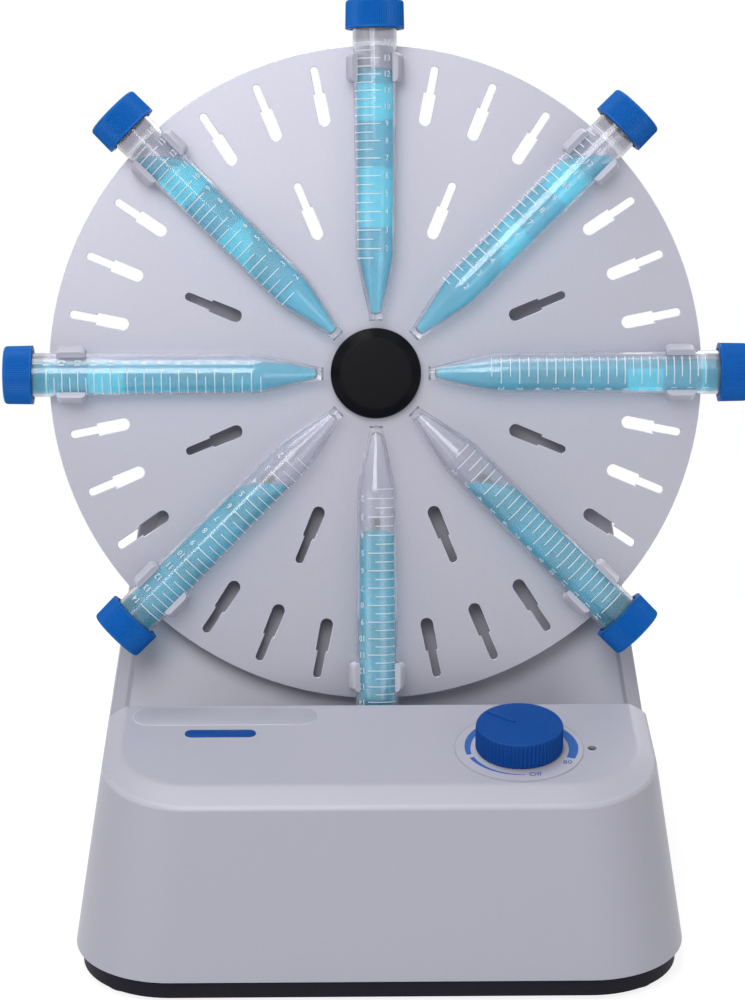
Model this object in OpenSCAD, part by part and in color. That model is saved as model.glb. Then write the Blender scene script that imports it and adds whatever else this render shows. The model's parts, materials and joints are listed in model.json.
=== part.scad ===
// Tube rotator: a leaning disc that turns eight conical tubes end over end.
// Millimetres. +Z up, the console faces -Y, the origin is under the middle of the base.

/* [Disc] */
// Diameter of the slotted disc
disc_d = 250; // [230:1:262]
// Thickness of the disc
disc_t = 2; // [1.5:0.1:3]
// How far the disc leans back from upright, in degrees
disc_tilt = 17.5; // [14:0.5:20]
// Height of the disc's centre
disc_z = 197; // [190:1:210]
// How far the disc's centre lies behind the middle of the base
disc_setback = 22; // [18:1:26]
// Gap between the back of the disc and the face of the tower
face_gap = 9; // [8:0.5:12]
// Number of outer slots, two of every eight lie under a tube
outer_slots = 32; // [16:8:40]
// Number of inner slots
inner_slots = 16; // [8:8:24]
// Radius at the outer end of an outer slot
outer_slot_r = 119.2; // [112:0.1:121]
// Radius at the outer end of an inner slot
inner_slot_r = 78.6; // [70:0.1:85]
// Length of a keyhole slot
slot_l = 23; // [18:0.5:26]
// Width of a slot's narrow outer half
slot_narrow = 3; // [2.4:0.1:3.6]
// Width of a slot's wide inner half
slot_wide = 4.7; // [4.2:0.1:6]
// Length of a slot's wide half
slot_wide_l = 12.5; // [10:0.5:15]

/* [Tubes] */
// Length of a tube from its tip to its mouth
tube_l = 119.2; // [100:0.2:122]
// Outer diameter of a tube at its mouth
tube_mouth_d = 16.9; // [15:0.1:17.5]
// Outer diameter where the cone starts
tube_cone_d = 15; // [13.5:0.1:16]
// Length of the cone
cone_l = 24.5; // [18:0.5:30]
// Diameter of the tip's rim
tip_d = 5.2; // [4:0.1:7]
// Wall of a tube
tube_wall = 1; // [0.8:0.1:1.4]
// Radius on the disc at which the tips lie
tip_r = 20; // [19:0.5:26]
// Height of the tube axes above the disc
tube_h = 10.8; // [10.2:0.1:13]
// Diameter of a screw cap at its open end
cap_d = 22.4; // [20:0.1:24]
// Height of a screw cap
cap_h = 12; // [10:0.5:14]
// Level of the liquid in an upright tube, from the tip
level_upright = 94; // [40:1:104]
// Level in a tube that hangs cap down, from the tip
level_hanging = 42; // [20:1:80]
// Level in a tube that lies across, above its axis
level_across = 3.4; // [-4:0.1:5]

/* [Clips] */
// Length of a clip along its tube
clip_l = 11; // [8:0.5:14]
// Thickness of a clip's arms
clip_t = 2.6; // [1.8:0.1:3]
// Half of the clip's open angle, in degrees
clip_open = 52; // [40:1:60]
// Radius on the disc of the middle of a clip
clip_r = 115.5; // [105:0.5:117]

/* [Housing] */
// Width of the housing at its lower edge
base_w = 226; // [215:1:250]
// Depth of the base
base_d = 235; // [228:1:250]
// Height of the housing's lower edge
lip_z = 10; // [8:0.5:14]
// Wall thickness
wall = 3; // [2:0.1:4]
// Lean of the side walls, in degrees
side_lean = 9.5; // [6:0.5:11]
// Lean of the front wall, in degrees
front_lean = 5.5; // [3:0.5:8]
// Lean of the rear wall, in degrees
rear_lean = 4; // [2:0.5:6]
// Corner radius at the front, seen from above
front_r = 36; // [28:1:40]
// Corner radius at the rear
rear_r = 22; // [15:1:26]
// Height of the console's rear edge
console_z = 87; // [82:1:92]
// Slope of the console towards the front, in degrees
console_slope = 6; // [3:0.5:9]
// Width of the falling band round the console and the tower face
band_w = 6; // [3:0.5:8]
// Width of the console's band at the front
band_front = 11; // [6:0.5:14]
// Drop of that band
band_drop = 3; // [1.5:0.5:4]
// Distance of the trough's front wall ahead of the disc
trough_front = 28; // [26:0.5:32]
// Height of the trough's floor
trough_z = 57; // [48:1:58]
// Top of the tower above the shaft, measured along the face
tower_top = 48; // [44:1:60]
// Corner radius at the top of the tower
tower_r = 22; // [14:1:26]
// Where the front housing meets the rear cover, behind the middle of the base
split_y = 62; // [58:1:70]

/* [Console] */
// Place of the knob to the right of the middle
knob_x = 51.4; // [30:0.1:60]
// Place of the knob in front of the middle of the base
knob_y = -75.3; // [-84:0.1:-70]
// Diameter of the knob
knob_d = 32.3; // [24:0.1:36]
// Height of the knob
knob_h = 9.8; // [8.5:0.1:14]
// Ribs round the knob
knob_ribs = 64; // [40:4:80]
// Diameter of the dial label
label_d = 48; // [40:1:54]
// Distance from the knob to the indicator lamp
lamp_x = 26.9; // [26:0.1:30]

/* [Gears] */
// Module of the teeth
gear_m = 0.8; // [0.7:0.05:0.85]
// Teeth of the two large gears
big_teeth = 56; // [48:1:58]
// Teeth of the two pinions
small_teeth = 14; // [13:1:16]
// Thinning of a tooth at its pitch circle, for backlash
backlash = 0.12; // [0.08:0.02:0.2]

/* [Shafts] */
// Diameter of the main shaft
shaft_d = 8; // [7.6:0.1:8]
// Running clearance round a shaft, on the radius
run = 0.03; // [0.02:0.01:0.08]
// Diameter of the motor can
motor_d = 32; // [28:1:34]
// Length of the motor can
motor_l = 36; // [30:1:40]

/* [Hidden] */
COUNT = 8;
$fn = 64;
EPS = 0.01;
FAR = 500;

grey = "#b4b2c0";
charcoal = "#2e2c34";
blue = "#1558b0";
steel = "#b9bcc2";
brass = "#c9a24b";
black = "#1c1c20";

// ---------------------------------------------------------------- frames

// Stands at the middle of the disc's front face, with Z out of the face and Y up along it.
module on_axis() translate([0, disc_setback, disc_z]) rotate([90 - disc_tilt, 0, 0]) children();

// Height above the bench of a point u up the face and h in front of the disc.
function height(u, h) = disc_z + u * cos(disc_tilt) + h * sin(disc_tilt);

// Stands on a tube's axis at its tip, with Z towards the mouth and X towards the disc.
module on_tube(i) on_axis() rotate([0, 0, tube_angle(i)])
    translate([tip_r, 0, tube_h]) rotate([0, 90, 0]) children();

function tube_angle(i) = 90 - 360 / COUNT * (i - 1);

// Stands on the console at the knob's centre, with Z out of the console.
module on_console(dx = 0) translate([knob_x + dx, knob_y, console_height(knob_y)])
    rotate([console_slope, 0, 0]) children();

console_y = disc_setback - (trough_front + (disc_z - console_z) * sin(disc_tilt)) / cos(disc_tilt);
function console_height(y) = console_z - (console_y - y) * tan(console_slope);

// ---------------------------------------------------------------- housing

function side_x(z) = base_w / 2 - (z - lip_z) * tan(side_lean);
function front_y(z) = -base_d / 2 + (z - lip_z) * tan(front_lean);
function rear_y(z) = base_d / 2 - (z - lip_z) * tan(rear_lean);

console_front_z = console_height(front_y(console_z - 8));
face_h = disc_t + face_gap;
tower_rear_z = height(tower_top, -face_h) - 16;
top_r = front_r - 3;

module disc_at(x, y, z, r, tilt = 0)
    for (s = [-1, 1]) translate([s * x, y, z]) rotate([tilt, 0, 0]) cylinder(r = r, h = EPS, $fn = 72);

// The base and console as one convex form, in by `inset` all round and open below.
module console_form(inset, below = 0) {
    z = console_front_z - band_drop;
    y = front_y(z) + top_r;
    flat_z = console_height(y) - inset - EPS;
    back_z = console_height(disc_setback) - inset - EPS;
    hull() {
        disc_at(side_x(lip_z) - front_r, front_y(lip_z) + front_r, lip_z - below, front_r - inset);
        disc_at(side_x(lip_z) - rear_r, rear_y(lip_z) - rear_r, lip_z - below, rear_r - inset);
        disc_at(side_x(z) - top_r, y, flat_z - band_drop, top_r - inset, console_slope);
        disc_at(side_x(z) - top_r, y + band_front - band_w,
            flat_z + (band_front - band_w) * tan(console_slope), top_r - band_w - inset * 0.7,
            console_slope);
        disc_at(side_x(back_z) - 2 * wall, disc_setback, back_z - band_drop, 2 * wall - inset,
            console_slope);
        disc_at(side_x(back_z) - 2 * wall - band_w, disc_setback, back_z, 2 * wall - inset,
            console_slope);
    }
}

// The space of the trough: behind its front wall and above its floor.
module trough_space(inset) {
    intersection() {
        on_axis() translate([-FAR, -FAR, -FAR]) cube([2 * FAR, 2 * FAR, FAR + trough_front + inset]);
        translate([-FAR, -FAR, trough_z - inset]) cube([2 * FAR, 2 * FAR, FAR]);
    }
}

// The tower as one convex form, in by `inset` all round and open below.
module tower_form(inset, below = 0) {
    lean = atan(tan(side_lean) * cos(disc_tilt));
    u_top = tower_top - tower_r;
    rear_c = tower_rear_z - rear_r;
    foot_h = -face_h - band_drop;
    u_foot = (lip_z - disc_z - foot_h * sin(disc_tilt)) / cos(disc_tilt) + 2;
    hull() {
        on_axis() for (s = [-1, 1]) {
            translate([s * (side_x(height(u_top, foot_h)) - tower_r / cos(lean)), u_top, 0]) {
                translate([0, 0, foot_h - inset]) cylinder(r = tower_r - inset, h = EPS, $fn = 72);
                translate([0, 0, -face_h - inset])
                    cylinder(r = tower_r - band_w - inset * 0.7, h = EPS, $fn = 72);
            }
            translate([s * (side_x(height(u_foot, foot_h)) - 1 - inset), u_foot - below,
                foot_h - inset]) cylinder(r = 1, h = EPS, $fn = 24);
            translate([s * (side_x(height(u_foot, foot_h)) - 1 - band_w - inset * 0.7),
                u_foot - below, -face_h - inset]) cylinder(r = 1, h = EPS, $fn = 24);
        }
        for (s = [-1, 1]) translate([s * (side_x(rear_c) - rear_r / cos(side_lean)),
            rear_y(rear_c) - rear_r / cos(rear_lean), rear_c]) sphere(r = rear_r - inset, $fn = 48);
        disc_at(side_x(lip_z) - rear_r, rear_y(lip_z) - rear_r, lip_z - below, rear_r - inset);
    }
}

// The same again on the other side of the middle plane.
module both() {
    children();
    mirror([1, 0, 0]) children();
}

module front_space() translate([-FAR, -FAR, -FAR]) cube([2 * FAR, FAR + split_y, 2 * FAR]);

// Places of the screw bosses on one side: for the bottom plate, and for the rear cover.
foot_boss = [[82, -88], [94, 40]];
rear_boss = [[92, 36], [66, 200]];
boss_l = 15;
boss_r = 4.5;
screw_r = 1.5;
pilot_r = screw_r + 0.05;
boss_z = 8.2;
// Posts behind the tower face that carry the gearbox, in the axis frame
gear_posts = [[-14, 27], [-52, -14], [28, -20], [-34, -50]];
post_l = 4;
plate_h = -face_h - wall - post_l;

module front_housing() color(grey) difference() {
    union() {
        intersection() {
            difference() {
                union() {
                    difference() {
                        console_form(0);
                        trough_space(0);
                    }
                    tower_form(0);
                }
                difference() {
                    console_form(wall, 2);
                    trough_space(wall);
                }
                tower_form(wall, 4);
            }
            front_space();
        }
        both() {
            translate([foot_boss[0][0], foot_boss[0][1], boss_z])
                cylinder(r = boss_r, h = console_height(foot_boss[0][1]) - boss_z - wall / 2);
            translate([foot_boss[1][0], foot_boss[1][1], boss_z]) cylinder(r = boss_r, h = 22);
            rib(foot_boss[1][0], foot_boss[1][1] - 1.25, 16, 2.5, 14);
            for (p = rear_boss) {
                translate([p[0], split_y, p[1]]) rotate([90, 0, 0]) cylinder(r = boss_r, h = boss_l);
                rib(p[0], split_y - boss_l, p[1] - 1.25, boss_l, 2.5);
            }
        }
        on_axis() translate([0, 0, plate_h]) linear_extrude(post_l + 1) for (p = gear_posts)
            translate(p) difference() {
                circle(4);
                circle(pilot_r);
            }
    }
    both() {
        for (p = foot_boss) translate([p[0], p[1], boss_z - 1]) cylinder(r = pilot_r, h = 14);
        for (p = rear_boss) translate([p[0], split_y + 1, p[1]]) rotate([90, 0, 0])
            cylinder(r = pilot_r, h = boss_l - 2);
    }
    on_axis() translate([0, 0, -face_h - 2 * wall]) cylinder(r = shaft_d / 2 + 3, h = 3 * wall);
    on_console() translate([0, 0, -2 * wall]) cylinder(r = bush_r + 0.1, h = 3 * wall);
    on_console(lamp_x) translate([0, 0, -2 * wall]) cylinder(r = lamp_r + 0.15, h = 3 * wall);
}

// A rib from a boss to the side wall.
module rib(x, y, z, depth, rise) translate([x, y, z]) cube([side_x(z + rise) - x - 1, depth, rise]);

// Seat of a deep screw in the rear cover
seat_y = split_y + 8;
socket_x = 56;
socket_z = 34;
pocket = [30, 8, 22];

module rear_cover() color(grey) difference() {
    union() {
        difference() {
            tower_form(0);
            tower_form(wall, 4);
            front_space();
        }
        both() for (p = rear_boss) translate([p[0], split_y + 0.1, p[1]]) rotate([-90, 0, 0])
            cylinder(r = boss_r + 0.4, h = rear_y(p[1]) - split_y - 0.7 * wall);
        pocket_block(wall - 0.5);
    }
    for (s = [-1, 1], p = rear_boss) translate([s * p[0], 0, p[1]]) rotate([-90, 0, 0]) {
        cylinder(r = screw_r + 0.2, h = FAR);
        translate([0, 0, seat_y]) cylinder(r = boss_r - 1.2, h = FAR);
    }
    pocket_block(0);
    translate([socket_x, 0, socket_z]) rotate([-90, 0, 0]) cylinder(r = 4.1, h = FAR);
}

// The pocket in the rear wall that keeps the socket behind the wall's own line.
module pocket_block(skin) {
    y = rear_y(socket_z) - pocket[1];
    translate([socket_x - pocket[0] / 2 - skin, y - skin, socket_z - pocket[2] / 2 - skin])
        cube([pocket[0] + 2 * skin, skin > 0 ? pocket[1] + 1 : FAR, pocket[2] + 2 * skin]);
}

// ---------------------------------------------------------------- base

plate_z = 2.5;
plate_inset = 2.5;
plate_t = 2.6;
rim_gap = 1.6;

// A slab with the base's plan, in by `inset`, exact all round.
module base_slab(inset, z0, z1) {
    x = base_w / 2;
    y = base_d / 2;
    translate([0, 0, z0]) linear_extrude(z1 - z0) union() {
        for (s = [-1, 1]) {
            translate([s * (x - front_r), -y + front_r]) circle(front_r - inset);
            translate([s * (x - rear_r), y - rear_r]) circle(rear_r - inset);
        }
        translate([-(x - front_r), -y + inset]) square([2 * (x - front_r), 2 * y - 2 * inset]);
        translate([-(x - rear_r), 0]) square([2 * (x - rear_r), y - inset]);
        translate([-(x - inset), -y + front_r]) square([2 * (x - inset), 2 * y - front_r - rear_r]);
    }
}

module bottom_plate() color(charcoal) difference() {
    union() {
        base_slab(plate_inset, plate_z, lip_z - 0.1);
        base_slab(wall + rim_gap, lip_z - 1, lip_z + 4);
    }
    difference() {
        base_slab(wall + rim_gap + 2.2, plate_z + plate_t, lip_z + 5);
        for (s = [-1, 1], p = foot_boss) translate([s * p[0], p[1], 0])
            cylinder(r = boss_r + 1, h = boss_z - 0.1);
        for (p = board_posts) translate([p[0], p[1], 0]) cylinder(r = 3.2, h = board_z - 0.02);
    }
    for (s = [-1, 1], p = foot_boss) translate([s * p[0], p[1], 0]) {
        cylinder(r = screw_r + 0.2, h = 20);
        cylinder(r = 3.3, h = plate_z + plate_t);
    }
    for (p = board_posts) translate([p[0], p[1], plate_z + plate_t]) cylinder(r = pilot_r, h = 20);
    for (p = foot_places()) translate([p[0], p[1], -1]) cylinder(r = foot_r + 0.1, h = plate_z + 2);
}

foot_r = 9;
foot_in = foot_r + 1.6;
function foot_places() = [for (s = [-1, 1], f = [0, 1]) let (
    r = (f == 0 ? front_r : rear_r),
    reach = (r - plate_inset - foot_in) * sqrt(0.5))
    [s * (base_w / 2 - r + reach), (f == 0 ? -1 : 1) * (base_d / 2 - r + reach)]];

module rubber_feet() color(black) for (p = foot_places()) translate([p[0], p[1], 0])
    rotate_extrude() polygon([[0, 0], [foot_r - 1.2, 0], [foot_r, 1.2], [foot_r, plate_z + 1],
        [0, plate_z + 1]]);

// A pan head screw with its head's underside at z = 0 and its shank going up.
module screw(l, r = screw_r, head = 2.8, head_h = 2) difference() {
    union() {
        translate([0, 0, -head_h]) cylinder(r = head, h = head_h);
        cylinder(r = r, h = l);
    }
    for (a = [0, 90]) rotate([0, 0, a]) translate([-head * 0.6, -0.35, -head_h - 1])
        cube([head * 1.2, 0.7, 2]);
}

module case_screws() color(steel) {
    for (s = [-1, 1], p = foot_boss) translate([s * p[0], p[1], plate_z + plate_t]) screw(12);
    for (s = [-1, 1], p = rear_boss) translate([s * p[0], seat_y, p[1]]) rotate([90, 0, 0]) screw(16);
    for (p = board_posts) translate([p[0], p[1], board_z + board_t]) rotate([180, 0, 0]) screw(6);
}

// ---------------------------------------------------------------- electrics

board = [84, 52];
board_x = -30;
board_y = -58;
board_z = 17;
board_t = 1.6;
board_posts = [for (s = [-1, 1], t = [-1, 1])
    [board_x + s * (board[0] / 2 - 4), board_y + t * (board[1] / 2 - 4)]];
bush_r = 3.45;
lamp_r = 1.5;

module control_board() color("#1f5c3a") translate([board_x, board_y, board_z]) {
    difference() {
        translate([-board[0] / 2, -board[1] / 2, 0]) cube([board[0], board[1], board_t]);
        for (s = [-1, 1], t = [-1, 1]) translate([s * (board[0] / 2 - 4), t * (board[1] / 2 - 4), -1])
            cylinder(r = screw_r + 0.1, h = 4);
    }
    translate([0, 0, board_t]) {
        for (p = [[-24, 8], [-12, 8]]) translate(p) cylinder(r = 5, h = 13);
        translate([4, -6, 0]) cube([14, 8, 2.4]);
        translate([24, 6, 0]) cube([2, 16, 18]);
        translate([26.2, 9, 0]) cube([4.4, 10, 15]);
        translate([-34, -16, 0]) cube([8, 12, 9]);
        translate([-18, -20, 0]) cube([16, 7, 9]);
        translate([20, -20, 0]) cube([12, 7, 9]);
    }
}

module potentiometer() color("#8d9098") on_console() difference() {
    union() {
        translate([0, 0, -wall]) cylinder(r = bush_r, h = wall + 2.6);
        translate([0, 0, -wall - 16]) cylinder(r = 8.3, h = 16);
        for (i = [-1:1]) translate([i * 5 - 0.5, -13.5, -wall - 6]) cube([1, 6, 0.5]);
        translate([-6, -9.5, -wall - 7]) cube([12, 4, 6]);
    }
    translate([0, 0, -wall - 13]) cylinder(r = shaft_r + run, h = 30);
    translate([0, 0, -wall - 13]) cylinder(r = 6.6, h = 5);
}

shaft_r = 3;
module potentiometer_shaft() color(steel) on_console() difference() {
    union() {
        translate([0, 0, -wall - 11]) cylinder(r = shaft_r, h = wall + 11 + knob_h - 1.6);
        translate([0, 0, -wall - 11]) cylinder(r = 6, h = 2);
    }
    translate([-5, shaft_r - 1, 2.5]) cube([10, 5, 20]);
}

module potentiometer_nut() color(steel) on_console() difference() {
    cylinder(r = 5.77, h = 2, $fn = 6);
    translate([0, 0, -1]) cylinder(r = bush_r, h = 4);
}

module dial_label() color("#bcbac8") on_console() difference() {
    translate([0, 0, 0.01]) cylinder(r = label_d / 2, h = 0.3, $fn = 96);
    translate([0, 0, -1]) cylinder(r = 7.5, h = 3);
}

module indicator_lamp() color("#d9e6da") on_console(lamp_x) {
    translate([0, 0, -wall - 1]) cylinder(r = 2.1, h = 1);
    translate([0, 0, -wall]) cylinder(r = lamp_r, h = wall - 2);
    translate([0, 0, -2]) intersection() {
        sphere(r = lamp_r);
        cylinder(r = 3, h = 3);
    }
    for (s = [-1, 1]) translate([s * 1.27 - 0.25, -0.25, -wall - 9]) cube([0.5, 0.5, 8]);
}

knob_gap = 0.7;
knob_turn = 53;
module speed_knob() color(blue) on_console() difference() {
    union() {
        translate([0, 0, knob_gap]) linear_extrude(knob_h - 1) polygon([for (i = [0:2 * knob_ribs - 1])
            let (a = i * 180 / knob_ribs, r = knob_d / 2 - (i % 2) * 0.45) [r * cos(a), r * sin(a)]]);
        translate([0, 0, knob_gap + knob_h - 1 - EPS]) cylinder(r1 = knob_d / 2 - 0.45,
            r2 = knob_d / 2 - 1, h = 1 + EPS);
        // pointer ridge
        rotate([0, 0, knob_turn]) translate([-1, 3, knob_gap + knob_h - 0.5])
            cube([2, knob_d / 2 - 5, 1.1]);
    }
    difference() {
        translate([0, 0, -1]) cylinder(r = knob_d / 2 - 2.6, h = knob_h - 0.6);
        translate([0, 0, 3]) cylinder(r = 5.2, h = knob_h);
        for (a = [0, 60, 120]) rotate([0, 0, a]) translate([-knob_d / 2, -0.6, 4])
            cube([knob_d, 1.2, knob_h]);
    }
    difference() {
        cylinder(r = shaft_r + 0.02, h = knob_h - 1.5);
        translate([-5, shaft_r - 0.98, 0]) cube([10, 5, 20]);
    }
}

module power_socket() color(black) {
    y = rear_y(socket_z) - pocket[1];
    translate([socket_x, y, socket_z]) rotate([-90, 0, 0]) difference() {
        union() {
            cylinder(r = 5.6, h = 2.2);
            translate([0, 0, -wall]) cylinder(r = 4, h = 6);
            translate([0, 0, -wall - 12]) cylinder(r = 5.4, h = 12.4);
            for (a = [90, 210]) rotate([0, 0, a]) translate([2.6, -1, -wall - 17]) cube([1, 2, 6]);
        }
        translate([0, 0, -wall - 8]) difference() {
            cylinder(r = 2.8, h = 30);
            cylinder(r = 1, h = 9);
        }
    }
}

// The same places as on_axis and on_console give, as points.
function axis_point(p) = [p[0],
    disc_setback + p[1] * sin(disc_tilt) - p[2] * cos(disc_tilt),
    disc_z + p[1] * cos(disc_tilt) + p[2] * sin(disc_tilt)];
function console_point(p) = [knob_x + p[0],
    knob_y + p[1] * cos(console_slope) - p[2] * sin(console_slope),
    console_height(knob_y) + p[1] * sin(console_slope) + p[2] * cos(console_slope)];

wire_r = 0.8;
plug_z = board_z + board_t + 9;

// A run of wire through the given points.
module wire(points) for (i = [0:len(points) - 2]) {
    a = points[i];
    v = points[i + 1] - a;
    translate(a) {
        if (i > 0) sphere(r = wire_r + 0.05, $fn = 16);
        rotate([0, acos(v[2] / norm(v)), atan2(v[1], v[0])]) cylinder(r = wire_r, h = norm(v), $fn = 16);
    }
}

module wiring() color("#a03030") {
    socket_y = rear_y(socket_z) - pocket[1] - wall - 17;
    // socket to board
    for (s = [0, 1]) wire([
        [socket_x - 2.7 * s, socket_y, socket_z - 3.1 + 4.65 * s],
        [socket_x - 2.7 * s, socket_y - 8, socket_z - 3.1 + 4.65 * s], [40 + 3 * s, 20, 22 + 3 * s],
        [-36 - 3 * s, -36 + 3 * s, 44 - 2 * s], [-36 - 3 * s, board_y - 16.5, plug_z + 6],
        [-36 - 3 * s, board_y - 16.5, plug_z]]);
    // motor to board
    for (s = [0, 1]) wire([
        axis_point([axis_c[0] - 4 + 8 * s, axis_c[1], motor_h]),
        axis_point([axis_c[0] - 4 + 8 * s, axis_c[1], motor_h - 6]),
        [-16 + 8 * s, 66, 90], [-26 + 3 * s, 10, 36], [-5 + 3 * s, -40, 44],
        [-5 + 3 * s, board_y - 16.5, plug_z + 6], [-5 + 3 * s, board_y - 16.5, plug_z]]);
    // potentiometer and lamp to board
    for (s = [-1:1]) wire([
        console_point([s * 5, -12.5, -wall - 6]), console_point([s * 5, -12.5, -wall - 11]),
        [-14 + 2 * s, board_y - 6 + 5 * s, 56], [-60 + 2.4 * s, board_y - 10, plug_z + 8],
        [-60 + 2.4 * s, board_y - 10, plug_z]]);
    for (s = [0, 1]) wire([
        console_point([lamp_x - 1.27 + 2.54 * s, 0, -wall - 9]),
        console_point([lamp_x - 1.27 + 2.54 * s, 0, -wall - 20]),
        [0, board_y - 4 + 4 * s, 52 + 2 * s], [-60 + 4 * s, board_y - 4.5, plug_z + 8],
        [-60 + 4 * s, board_y - 4.5, plug_z]]);
}

// ---------------------------------------------------------------- gearbox

centre_d = gear_m * (big_teeth + small_teeth) / 2;
b_turn = 210;
c_turn = -60;
axis_b = centre_d * [cos(b_turn), sin(b_turn)];
axis_c = axis_b + centre_d * [cos(c_turn), sin(c_turn)];
plate_t2 = 2;
space_l = 18.5;
rear_plate_h = plate_h - plate_t2 - space_l - plate_t2;
plate_box = [-57, -57, 32, 32];
spacer_places = [[26, 26], [-51, 26], [-51, -51], [26, -51]];
bearing_r = 11;
bearing_l = 7;
first_gear_h = plate_h - plate_t2 - 10.6;
second_gear_h = first_gear_h - 6.2;
flange_screws = [for (a = [90, 210, 330]) 16 * [cos(a), sin(a)]];
motor_screw_places = [for (a = [45, 225]) axis_c + 9.5 * [cos(a), sin(a)]];

module gear_plate() linear_extrude(plate_t2) difference() {
    union() {
        translate([plate_box[0] + 6, plate_box[1]])
            square([plate_box[2] - plate_box[0] - 12, plate_box[3] - plate_box[1]]);
        translate([plate_box[0], plate_box[1] + 6])
            square([plate_box[2] - plate_box[0], plate_box[3] - plate_box[1] - 12]);
        for (x = [plate_box[0] + 6, plate_box[2] - 6], y = [plate_box[1] + 6, plate_box[3] - 6])
            translate([x, y]) circle(6);
    }
    for (p = spacer_places) translate(p) circle(screw_r + 0.1);
    children();
}

module gear_plate_front() color(steel) on_axis() translate([0, 0, plate_h - plate_t2]) gear_plate() {
    circle(bearing_r + 2.6);
    for (p = flange_screws) translate(p) circle(pilot_r);
    for (p = gear_posts) translate(p) circle(screw_r + 0.1);
    translate(axis_b) circle(axle_r);
}

module gear_plate_rear() color(steel) on_axis() translate([0, 0, rear_plate_h]) gear_plate() {
    circle(5);
    translate(axis_b) circle(axle_r);
    translate(axis_c) circle(small_r + 1.2);
    for (p = motor_screw_places) translate(p) circle(screw_r + 0.1);
}

module plate_spacers() color(brass) on_axis() for (p = spacer_places)
    translate([p[0], p[1], rear_plate_h + plate_t2]) difference() {
        cylinder(r = 3.4, h = space_l, $fn = 6);
        translate([0, 0, -1]) cylinder(r = pilot_r, h = space_l + 2);
    }

module gearbox_screws() color(steel) on_axis() {
    for (p = spacer_places) {
        translate([p[0], p[1], plate_h]) rotate([180, 0, 0]) screw(7, head_h = 1.6);
        translate([p[0], p[1], rear_plate_h]) screw(7, head_h = 1.6);
    }
    for (p = gear_posts) translate([p[0], p[1], plate_h - plate_t2]) screw(5.8);
    for (p = flange_screws) translate([p[0], p[1], plate_h + 2.5]) rotate([180, 0, 0])
        screw(4, head_h = 1);
    for (p = motor_screw_places) translate([p[0], p[1], rear_plate_h + plate_t2])
        rotate([180, 0, 0]) screw(3.4, head = 2.4, head_h = 1.2);
}

module bearing_housing() color(steel) on_axis() difference() {
    union() {
        translate([0, 0, plate_h]) cylinder(r = 19, h = 2.5);
        translate([0, 0, plate_h - plate_t2 - 4]) cylinder(r = bearing_r + 2.5, h = plate_t2 + 4);
    }
    translate([0, 0, plate_h - plate_t2 - 5]) cylinder(r = bearing_r, h = bearing_l + 1);
    translate([0, 0, plate_h - 10]) cylinder(r = bearing_r - 2, h = 20);
    for (p = flange_screws) translate([p[0], p[1], plate_h - 5]) cylinder(r = screw_r + 0.1, h = 10);
}

// A deep groove ball bearing: outer ring, inner ring and seven balls.
module front_bearing() color(steel) on_axis() translate([0, 0, plate_h - plate_t2 - 4]) {
    pitch = (bearing_r + shaft_d / 2) / 2;
    ball = 2;
    difference() {
        cylinder(r = bearing_r, h = bearing_l);
        translate([0, 0, -1]) cylinder(r = pitch + 1.5, h = bearing_l + 2);
        groove(pitch, ball);
    }
    difference() {
        cylinder(r = pitch - 1.5, h = bearing_l);
        translate([0, 0, -1]) cylinder(r = shaft_d / 2 + run, h = bearing_l + 2);
        groove(pitch, ball);
    }
    for (i = [0:6]) rotate([0, 0, i * 360 / 7]) translate([pitch, 0, bearing_l / 2])
        sphere(r = ball);
}

module groove(pitch, ball) translate([0, 0, bearing_l / 2]) rotate_extrude()
    translate([pitch, 0]) circle(ball + 0.02);

module rear_bush() color(brass) on_axis() translate([0, 0, rear_plate_h]) difference() {
    union() {
        translate([0, 0, -1.5]) cylinder(r = 5, h = plate_t2 + 1.5);
        translate([0, 0, plate_t2]) cylinder(r = 6.5, h = 1);
    }
    translate([0, 0, -5]) cylinder(r = rear_shaft_r + run, h = 20);
}

// Outline of a spur gear with involute flanks. One tooth is centred on `turn`.
function inv(a) = tan(a) * 180 / PI - a;
function gear_points(teeth, turn, tip, root) = let (
    pitch_r = gear_m * teeth / 2,
    base_r = pitch_r * cos(20),
    tip_radius = pitch_r + tip * gear_m,
    root_radius = pitch_r - root * gear_m,
    half = 90 / teeth - backlash / 2 / pitch_r * 180 / PI,
    start_r = max(base_r, root_radius),
    steps = 4,
    radii = [for (k = [0:steps]) start_r + (tip_radius - start_r) * k / steps],
    flank = [for (r = radii) half + inv(20) - inv(acos(min(1, base_r / r)))],
    low = min(flank[0], 180 / teeth * 0.92))
    [for (i = [0:teeth - 1]) let (a = turn + i * 360 / teeth) each concat(
        [polar(root_radius, a - low)],
        [for (k = [0:steps]) polar(radii[k], a - flank[k])],
        [for (k = [steps:-1:0]) polar(radii[k], a + flank[k])],
        [polar(root_radius, a + low)])];
function polar(r, a) = [r * cos(a), r * sin(a)];

small_r = gear_m * small_teeth / 2 + gear_m;
big_r = gear_m * big_teeth / 2 + 0.8 * gear_m;

module big_gear(turn, l) linear_extrude(l) polygon(gear_points(big_teeth, turn, 0.8, 1.25));
module small_gear(turn, l) linear_extrude(l) polygon(gear_points(small_teeth, turn, 1, 1.1));

axle_r = 2;
rear_shaft_r = 3;

module gear_axle() color(steel) on_axis() translate([axis_b[0], axis_b[1], rear_plate_h])
    cylinder(r = axle_r, h = space_l + 2 * plate_t2);

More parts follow.
